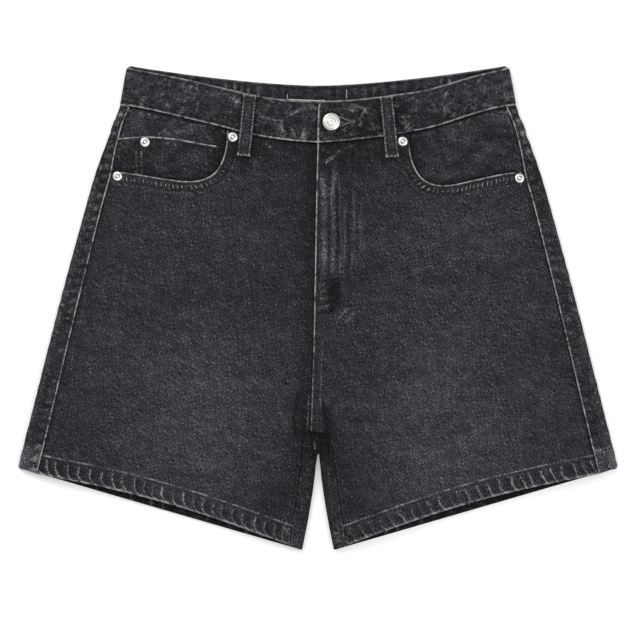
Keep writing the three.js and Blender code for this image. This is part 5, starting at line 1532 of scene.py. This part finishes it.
# Belt loops
# Two strips of denim folded in three and topstitched down both sides. Each one stands over the band and its
# seam, and is bar-tacked to the garment at both ends.
LOOP = 1.8
FRONT_LOOP = {"top_x": 64.5, "foot_x": 70.5, "foot_y": 144.6, "width": 12.2, "length": 59.0, "stand": 0.8}
loop_denim = washed_denim("belt_loop_denim", marbling=0.3, marble_size=6.0, tone=1.1)


def loop_face(side, s, a):
    """A point of a front loop's middle, at a share s of the way down and a share a across."""
    top_y = front_top_y(FRONT_LOOP["top_x"] * side) - 0.6
    seam_y = front_seam_y(FRONT_LOOP["foot_x"] * side)
    foot_y = FRONT_LOOP["foot_y"] + sag(FRONT_LOOP["foot_x"] * side) * 0.5
    x = FRONT_LOOP["top_x"] + (FRONT_LOOP["foot_x"] - FRONT_LOOP["top_x"]) * s
    y = top_y + (foot_y - top_y) * s
    lean = math.atan2(FRONT_LOOP["foot_x"] - FRONT_LOOP["top_x"], float(top_y - foot_y))
    on_the_band = band_layer(x * side, y, side) + BAND / 2
    on_panel = front_panel(x * side, y, side) + DENIM / 2
    down = ease((seam_y - y - 1) / 9)
    stand = FRONT_LOOP["stand"] * np.sin(np.pi * np.minimum(s / 0.7, 1)) ** 2
    z = on_the_band + (on_panel - on_the_band) * down + 0.55 + LOOP / 2 + stand
    off = a * FRONT_LOOP["width"]
    return np.stack([(x + off * math.cos(lean)) * side, y + off * math.sin(lean) + 0 * s, z + 0 * a], -1)


for side, word in ((1, "left"), (-1, "right")):
    s = np.linspace(0, 1, 64)[:, None]
    a = np.concatenate([[-0.5, -0.485, -0.46, -0.43], np.linspace(-0.39, 0.39, 12), [0.43, 0.46, 0.485, 0.5]])
    a = a[None]
    grid = loop_face(side, s, a)
    length = s * FRONT_LOOP["length"]
    across = a * FRONT_LOOP["width"]
    edge = FRONT_LOOP["width"] / 2 - np.abs(across)
    rounding = -0.35 * bell(edge, 0.7) + 0.2 * bell(across, 3.2) - 0.22 * bell(edge - 1.7, 0.6)
    ends = bell(length, 1.6) + bell(FRONT_LOOP["length"] - length, 1.6)
    press = -0.3 * (bell(length - 5, 1.8) + bell(length - 55, 1.8))
    beads = puckers(191 + side, length, 3.4)
    rubbed = (0.35 + 0.6 * beads) * bell(edge - 0.9, 0.7) + 1.2 * ends * broken(195, across + 0 * s)
    rubbed = rubbed + 0.3 * np.clip(drift(193 + side, length / 4, a * 4), 0, 1)
    # Painted shade in the dents where the bar tacks press the loop down, and a darker line inside each
    # stitched edge
    fade_and_shade = 0.25 * drift(194 + side, length / 7, a * 3) - 0.8 * (bell(length - 5, 2) + bell(length - 54, 2.2))
    fade_and_shade = fade_and_shade - 0.5 * bell(edge - 2.6, 0.9)
    piece = cloth_wall(
        f"front_loop_{word}", grid, -side, LOOP / 2 + rounding + press, LOOP / 2,
        rubbed, fade_and_shade + 0 * s, np.stack([across + 0 * s, length + 0 * a], -1),
    )
    piece.data.materials.append(loop_denim)
    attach(piece, "root")
    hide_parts(f"belt_loop_front_{word}")
    lift = np.array([0, 0, LOOP / 2 + 0.05])
    down = np.linspace(0.02, 0.98, 30)
    rows = [loop_face(side, down, np.full(30, off)) + lift for off in (-0.36, 0.36)]
    sew(f"front_loop_stitching_{word}", rows, thread)
    bars = []
    for middle_s in (0.085, 0.92):
        for k in range(5):
            place = np.full(2, middle_s + (k - 2) * 0.009)
            bars.append(loop_face(side, place, np.array([-0.42, 0.42])) + lift - np.array([0, 0, 0.15]))
    sew(f"front_loop_bar_tacks_{word}", bars, thread, pitch=1.3, length=1.5, thread=0.5)

# Back belt loops
# Three strips of denim folded in three and topstitched down both sides, sewn over the band on the hidden side
# and pressed into it by the garment's own weight, so that it lies flat.
for word, place in BACK_LOOPS.items():
    middle_y, length, turn = back_loop_place(place)
    t = np.linspace(0.5, -0.5, 44)[:, None]
    a = np.concatenate([[-0.5, -0.47, -0.43], np.linspace(-0.39, 0.39, 13), [0.43, 0.47, 0.5]])[None]
    across, up = a * BACK_LOOP["width"], t * length
    x = place + across * math.cos(turn) - up * math.sin(turn)
    y = middle_y + across * math.sin(turn) + up * math.cos(turn)
    edge, end = BACK_LOOP["width"] / 2 - np.abs(across), length / 2 - np.abs(up)
    relief = -0.3 * bell(edge, 0.8) - 0.25 * bell(edge - 2, 0.7) - 0.2 * bell(end - 3, 1.5)
    beads = puckers(201 + len(word), up + 0 * across, 3.4)
    rubbed = (0.45 + 0.6 * beads) * bell(edge - 0.9, 0.8) + 0.8 * bell(end, 1.4)
    fade_and_shade = 0.2 * drift(205, up / 7, across / 4) - 0.5 * bell(end - 4, 1.8)
    grid = np.stack([x, y, BACK_LOOP["depth"] / 2 + 0 * x], -1)
    piece = cloth_wall(
        f"back_loop_{word}", grid, 1, BACK_LOOP["depth"] / 2 + relief, BACK_LOOP["depth"] / 2,
        rubbed, fade_and_shade, np.stack([across + 0 * up, up + 0 * across], -1),
    )
    piece.data.materials.append(loop_denim)
    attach(piece, "root")
    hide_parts(f"belt_loop_back_{word}")
    rows = []
    for off in (-4.2, 4.2):
        run = np.linspace(-0.48, 0.48, 20) * length
        row_x = place + off * math.cos(turn) - run * math.sin(turn)
        row_y = middle_y + off * math.sin(turn) + run * math.cos(turn)
        rows.append(np.stack([row_x, row_y, 0 * run + 0.22], -1))
    sew(f"back_loop_stitching_{word}", rows, thread, thread=0.5)

# Underside stitching
# Two rows along the seat seam and each yoke seam, one along each hem, and one along both edges of the band,
# in the same charcoal thread, pressed level with the cloth.
UNDER_LIFT = 0.12
under_rows = []
for side in (1, -1):
    across = np.linspace(3, 180, 90)
    for drop in (1.8, 8.2):
        under_rows.append(np.stack([across * side, yoke_seam_y(across) - drop, 0 * across + UNDER_LIFT], -1))
    across = np.linspace(20, 272, 110)
    under_rows.append(np.stack([across * side, back_hem_y(across) + 17.5, 0 * across + UNDER_LIFT], -1))
    across = np.linspace(1, 178, 90)
    for line, rise in ((BACK_SEAM, 2.2), (BACK_TOP, -2.2)):
        level = level_of(line, across) + rise
        under_rows.append(np.stack([across * side, level, 0 * across + UNDER_LIFT], -1))
for across in (1.8, 8.0):
    down = np.linspace(106, -128, 90)
    under_rows.append(np.stack([0 * down + across, down, 0 * down + UNDER_LIFT], -1))
sew("underside_stitching", under_rows, thread, thread=0.45)

# Label
# A plain woven tab of white tape inside the back of the band. Thick white thread tacks it to the band at its
# two upper corners.
LABEL = {"width": 56.0, "foot": 175.5, "top": 197.2, "thickness": 1.0}
white_tape = thread_of("white_tape", (0.55, 0.545, 0.53), 0.8)
white_thread = thread_of("white_thread", (0.5, 0.5, 0.48), 0.7)
u, v = np.meshgrid(np.linspace(-0.5, 0.5, 57), np.linspace(0, 1, 23))
label_z = BAND + SEAM_GAP + LABEL["thickness"] / 2 + 0.12 * np.sin(u * 9) * np.cos(v * 4)
label_x = u * LABEL["width"]
# Its upper edge lies along the front's, so that a thin strip of it shows there
label_top = np.where(label_x < 6, np.maximum(front_top_y(label_x) + 1.1, LABEL["top"]), LABEL["top"] - 1.5)
label_middle = np.stack([label_x, LABEL["foot"] + (label_top - LABEL["foot"]) * v, label_z], -1)
label = cloth_wall(
    "label_tape", label_middle, 1, 0.4, 0.4, 0 * u, 0 * u, np.stack([u * LABEL["width"], v * 20], -1)
)
label.data.materials.append(white_tape)
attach(label, "root")
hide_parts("label")
tacks = [
    np.array([(-29.5, 196.6, BAND + 0.7), (-29.0, 202.6, BAND + 0.45)]),
    np.array([(27.0, 199.6, BAND + 0.7), (27.2, 207.0, BAND + 0.45)]),
]
sew("label_tacks", tacks, white_thread, pitch=1.1, length=1.6, thread=0.8)

# Button
# A stamped jeans button of aged silver-coloured metal, with a rolled rim and a plain ring, tacked to the
# under end of the band and pushed through a keyhole buttonhole, whose edges are worked in thread.
BUTTON = {"x": 12.7, "y": 176.6, "radius": 8.5, "shank": 2.1}
BUTTONHOLE = {"eye": 2.6, "end": 34.7, "rise": 0.3}


def silver(name, shade, roughness, dents):
    """Plated metal, clouded and finely scratched by washing, with painted shade in its grooves."""
    material = bpy.data.materials.new(name)
    material.use_nodes = True
    nodes, link = material.node_tree.nodes, material.node_tree.links.new
    shader = nodes["Principled BSDF"]
    place = nodes.new("ShaderNodeTexCoord")
    cloud = nodes.new("ShaderNodeTexNoise")
    cloud.inputs["Scale"].default_value = 420
    cloud.inputs["Detail"].default_value = 6
    link(place.outputs["Object"], cloud.inputs["Vector"])
    ramp = nodes.new("ShaderNodeValToRGB")
    ramp.color_ramp.elements[0].position = 0.3
    ramp.color_ramp.elements[1].position = 0.7
    for element, factor in zip(ramp.color_ramp.elements, (0.78, 1.0)):
        element.color = (shade[0] * factor, shade[1] * factor, shade[2] * factor, 1)
    link(cloud.outputs["Fac"], ramp.inputs["Fac"])
    # Painted shade in the grooves, from the painted_groove_shade attribute, mixes the metal towards near
    # black
    painted_groove_shade = nodes.new("ShaderNodeAttribute")
    painted_groove_shade.attribute_name = "painted_groove_shade"
    mix = nodes.new("ShaderNodeMix")
    mix.data_type = "RGBA"
    link(painted_groove_shade.outputs["Fac"], mix.inputs["Factor"])
    link(ramp.outputs["Color"], mix.inputs[6])
    mix.inputs[7].default_value = (0.03, 0.03, 0.032, 1)
    link(mix.outputs[2], shader.inputs["Base Color"])
    rough = nodes.new("ShaderNodeMapRange")
    rough.inputs["To Min"].default_value = roughness + 0.12
    rough.inputs["To Max"].default_value = roughness - 0.08
    link(cloud.outputs["Fac"], rough.inputs["Value"])
    link(rough.outputs["Result"], shader.inputs["Roughness"])
    bump = nodes.new("ShaderNodeBump")
    bump.inputs["Strength"].default_value = 0.25
    bump.inputs["Distance"].default_value = dents
    link(cloud.outputs["Fac"], bump.inputs["Height"])
    link(bump.outputs["Normal"], shader.inputs["Normal"])
    shader.inputs["Metallic"].default_value = 1.0
    return material


def turned_piece(name, profile, centre, normal=(0, 0, 1), sides=72):
    """A turned piece: a profile of (radius, height, painted groove shade) rows swept round and closed on its
    axis.
    """
    profile = np.array([(*row, 0.0)[:3] for row in profile], float)
    fine = np.linspace(0, len(profile) - 1, (len(profile) - 1) * 4 + 1)
    radius, height, groove_shade_share = (np.interp(fine, np.arange(len(profile)), profile[:, k]) for k in (0, 1, 2))
    angle = np.linspace(0, 2 * np.pi, sides, endpoint=False)
    normal = np.array(normal, float) / np.linalg.norm(normal)
    across = np.cross((0, 1, 0), normal)
    across /= np.linalg.norm(across)
    up = np.cross(normal, across)
    ring = np.cos(angle)[:, None] * across + np.sin(angle)[:, None] * up
    rings = [centre + r * ring + h * normal for r, h in zip(radius[1:-1], height[1:-1])]
    points = np.concatenate([*rings, [centre + height[0] * normal], [centre + height[-1] * normal]])
    faces, last = [], len(rings) - 1
    for row in range(last):
        for k in range(sides):
            n = (k + 1) % sides
            faces.append((row * sides + k, row * sides + n, (row + 1) * sides + n, (row + 1) * sides + k))
    foot, tip = len(rings) * sides, len(rings) * sides + 1
    faces += [(foot, (k + 1) % sides, k) for k in range(sides)]
    faces += [(tip, last * sides + k, last * sides + (k + 1) % sides) for k in range(sides)]
    mesh = bpy.data.meshes.new(name)
    mesh.from_pydata([tuple(p * MM) for p in points], [], faces)
    mesh.shade_smooth()
    painted_groove_shade = np.concatenate([np.repeat(groove_shade_share[1:-1], sides), groove_shade_share[[0, -1]]])
    mesh.attributes.new("painted_groove_shade", "FLOAT", "POINT").data.foreach_set("value", painted_groove_shade.astype("f"))
    piece = bpy.data.objects.new(name, mesh)
    bpy.context.collection.objects.link(piece)
    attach(piece, "root")
    return piece


lap_top = float(band_layer(BUTTON["x"], BUTTON["y"], 1)) + BAND / 2
under_top = float(band_layer(BUTTON["x"], BUTTON["y"], -1)) + BAND / 2
head_z = lap_top + SEAM_GAP
shank = head_z - under_top - SEAM_GAP
r = BUTTON["radius"]
# The third value of a profile row is painted shade, here in the groove inside the rim and in the ring's
# groove
button = turned_piece("button_head", [
    (0, -shank), (BUTTON["shank"], -shank), (BUTTON["shank"], 0), (r - 1.4, 0), (r - 0.4, 0.3), (r, 1.0),
    (r - 0.15, 1.6), (r - 0.6, 2.1), (r - 1.2, 2.3), (r - 1.7, 2.2), (r - 2.1, 1.95, 0.3),
    (r - 2.4, 1.85, 0.25), (r - 2.8, 1.9), (r - 3.6, 2.0), (r - 4.2, 2.0), (r - 4.5, 1.85, 0.4),
    (r - 4.8, 1.85, 0.35), (r - 5.1, 2.0), (2.2, 2.1), (1.0, 2.15), (0, 2.2),
], np.array([BUTTON["x"], BUTTON["y"], head_z]))
button.data.materials.append(silver("aged_silver", (0.68, 0.665, 0.64), 0.36, 0.00008))
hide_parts("button")
# The buttonhole: a slit from the eye to its end, drawn as a near-black row of painted shadow, with close
# stitches worked along both edges
slit_x = np.linspace(BUTTON["x"] + BUTTON["radius"] - 1, BUTTONHOLE["end"] - 1, 30)
slit_y = BUTTON["y"] + BUTTONHOLE["rise"]
slit = on_band(np.stack([slit_x, np.full(30, slit_y)], -1), 1, 0.0)
slit_shadow = thread_of("slit_shadow", (0.004, 0.004, 0.005), 1.0)
sew("buttonhole_slit_shadow", [slit], slit_shadow, pitch=0.5, length=1.2, thread=1.1)
worked = []
edge_x = np.linspace(BUTTON["x"] + BUTTON["radius"] - 1.2, BUTTONHOLE["end"], 24)
reach = BUTTONHOLE["eye"] + 1.2 - 3.4 * ease((edge_x - edge_x[0]) / 11.0)
for rank in (-1, 1):
    for row in (0.0, 0.8):
        worked.append(on_band(np.stack([edge_x, slit_y + rank * (reach + row)], -1), 1, 0.1))
worn_thread = thread_of("worn_thread", (0.15, 0.15, 0.155))
sew("buttonhole_stitching", worked, worn_thread, pitch=1.2, length=1.3, thread=0.7)

# Rivets
# Pressed metal rivets that hold the pocket corners together: a bright flange on the face of the denim, with a
# raised burr in the middle, ringed by a sunken groove that painted shade darkens.
RIVET = {"radius": 4.6, "stand": 0.35}
RIVETS = [
    ("rivet_right_loop", -80.8, 162.2),
    ("rivet_right_side", -190.0, 125.0),
    ("rivet_coin_pocket", -163.9, 157.3),
    ("rivet_left_loop", 80.4, 158.1),
    ("rivet_left_side", 191.0, 123.4),
]
rivet_metal = silver("bright_silver", (0.74, 0.73, 0.71), 0.34, 0.00002)
for name, x, y in RIVETS:
    side = 1 if x > 0 else -1
    lift = DENIM + SEAM_GAP - FACING_DROP if name == "rivet_coin_pocket" else 0.0
    height = lambda px, py: float(front_panel(np.array(px), np.array(py), side)) + lift
    normal = np.array([height(x - 4, y) - height(x + 4, y), height(x, y - 4) - height(x, y + 4), 8.0])
    normal /= np.linalg.norm(normal)
    seat = np.array([x, y, height(x, y)]) + normal * (DENIM / 2 + RIVET["stand"])
    r = RIVET["radius"]
    rivet = turned_piece(name + "_head", [
        (0, -0.2), (r - 0.5, -0.2), (r - 0.1, 0.1), (r, 0.5), (r - 0.3, 0.95), (r - 0.9, 1.2),
        (r - 1.6, 1.25), (r - 2.0, 1.15, 0.2), (r - 2.3, 0.95, 0.35), (2.1, 0.9, 0.6), (1.75, 0.95, 0.6),
        (1.4, 1.2, 0.2), (1.0, 1.45), (0.6, 1.55), (0, 1.55),
    ], seat, normal, 40)
    rivet.data.materials.append(rivet_metal)
    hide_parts(name)

# Floor and light
# A plain pale surface under the garment, with a soft key light from the waist's side, a broad one from above
# and a weak fill from the wearer's left. Sizes and places here are in metres.
FLOOR = {"half": 3, "level": -0.0004}
floor_mesh = bpy.data.meshes.new("floor")
floor_corners = [
    (across * FLOOR["half"], up * FLOOR["half"], FLOOR["level"])
    for across, up in ((-1, -1), (1, -1), (1, 1), (-1, 1))
]
floor_mesh.from_pydata(floor_corners, [], [(0, 1, 2, 3)])
floor = bpy.data.objects.new("floor", floor_mesh)
bpy.context.collection.objects.link(floor)
paper = bpy.data.materials.new("paper")
paper.use_nodes = True
paper_look = paper.node_tree.nodes["Principled BSDF"].inputs
paper_look["Base Color"].default_value = (0.95, 0.95, 0.95, 1)
paper_look["Roughness"].default_value = 0.95
paper_look["Emission Color"].default_value = (1, 1, 1, 1)
paper_look["Emission Strength"].default_value = 0.12
floor_mesh.materials.append(paper)

# Soft square lights, all turned to the garment's middle: name, where each hangs, side length, power
LIGHTS = [
    ("key", (-1.1, 1.3, 1.6), 1.2, 27),
    ("overhead", (0.2, 0.0, 2.4), 2.6, 24),
    ("fill", (1.5, -0.5, 1.6), 1.2, 16),
]
for name, place, size, power in LIGHTS:
    lamp = bpy.data.lights.new(name, "AREA")
    lamp.size = size
    lamp.energy = power
    source = bpy.data.objects.new(name, lamp)
    source.location = place
    aim = -np.array(place)
    flat_run = math.hypot(aim[0], aim[1])
    source.rotation_euler = (math.atan2(flat_run, -aim[2]), 0, math.atan2(-aim[0], aim[1]))
    bpy.context.collection.objects.link(source)
world = bpy.data.worlds.new("studio")
world.use_nodes = True
sky = world.node_tree.nodes["Background"].inputs
sky["Color"].default_value = (1, 1, 1, 1)
sky["Strength"].default_value = 0.4
bpy.context.scene.world = world
bpy.context.scene.view_settings.view_transform = "Standard"

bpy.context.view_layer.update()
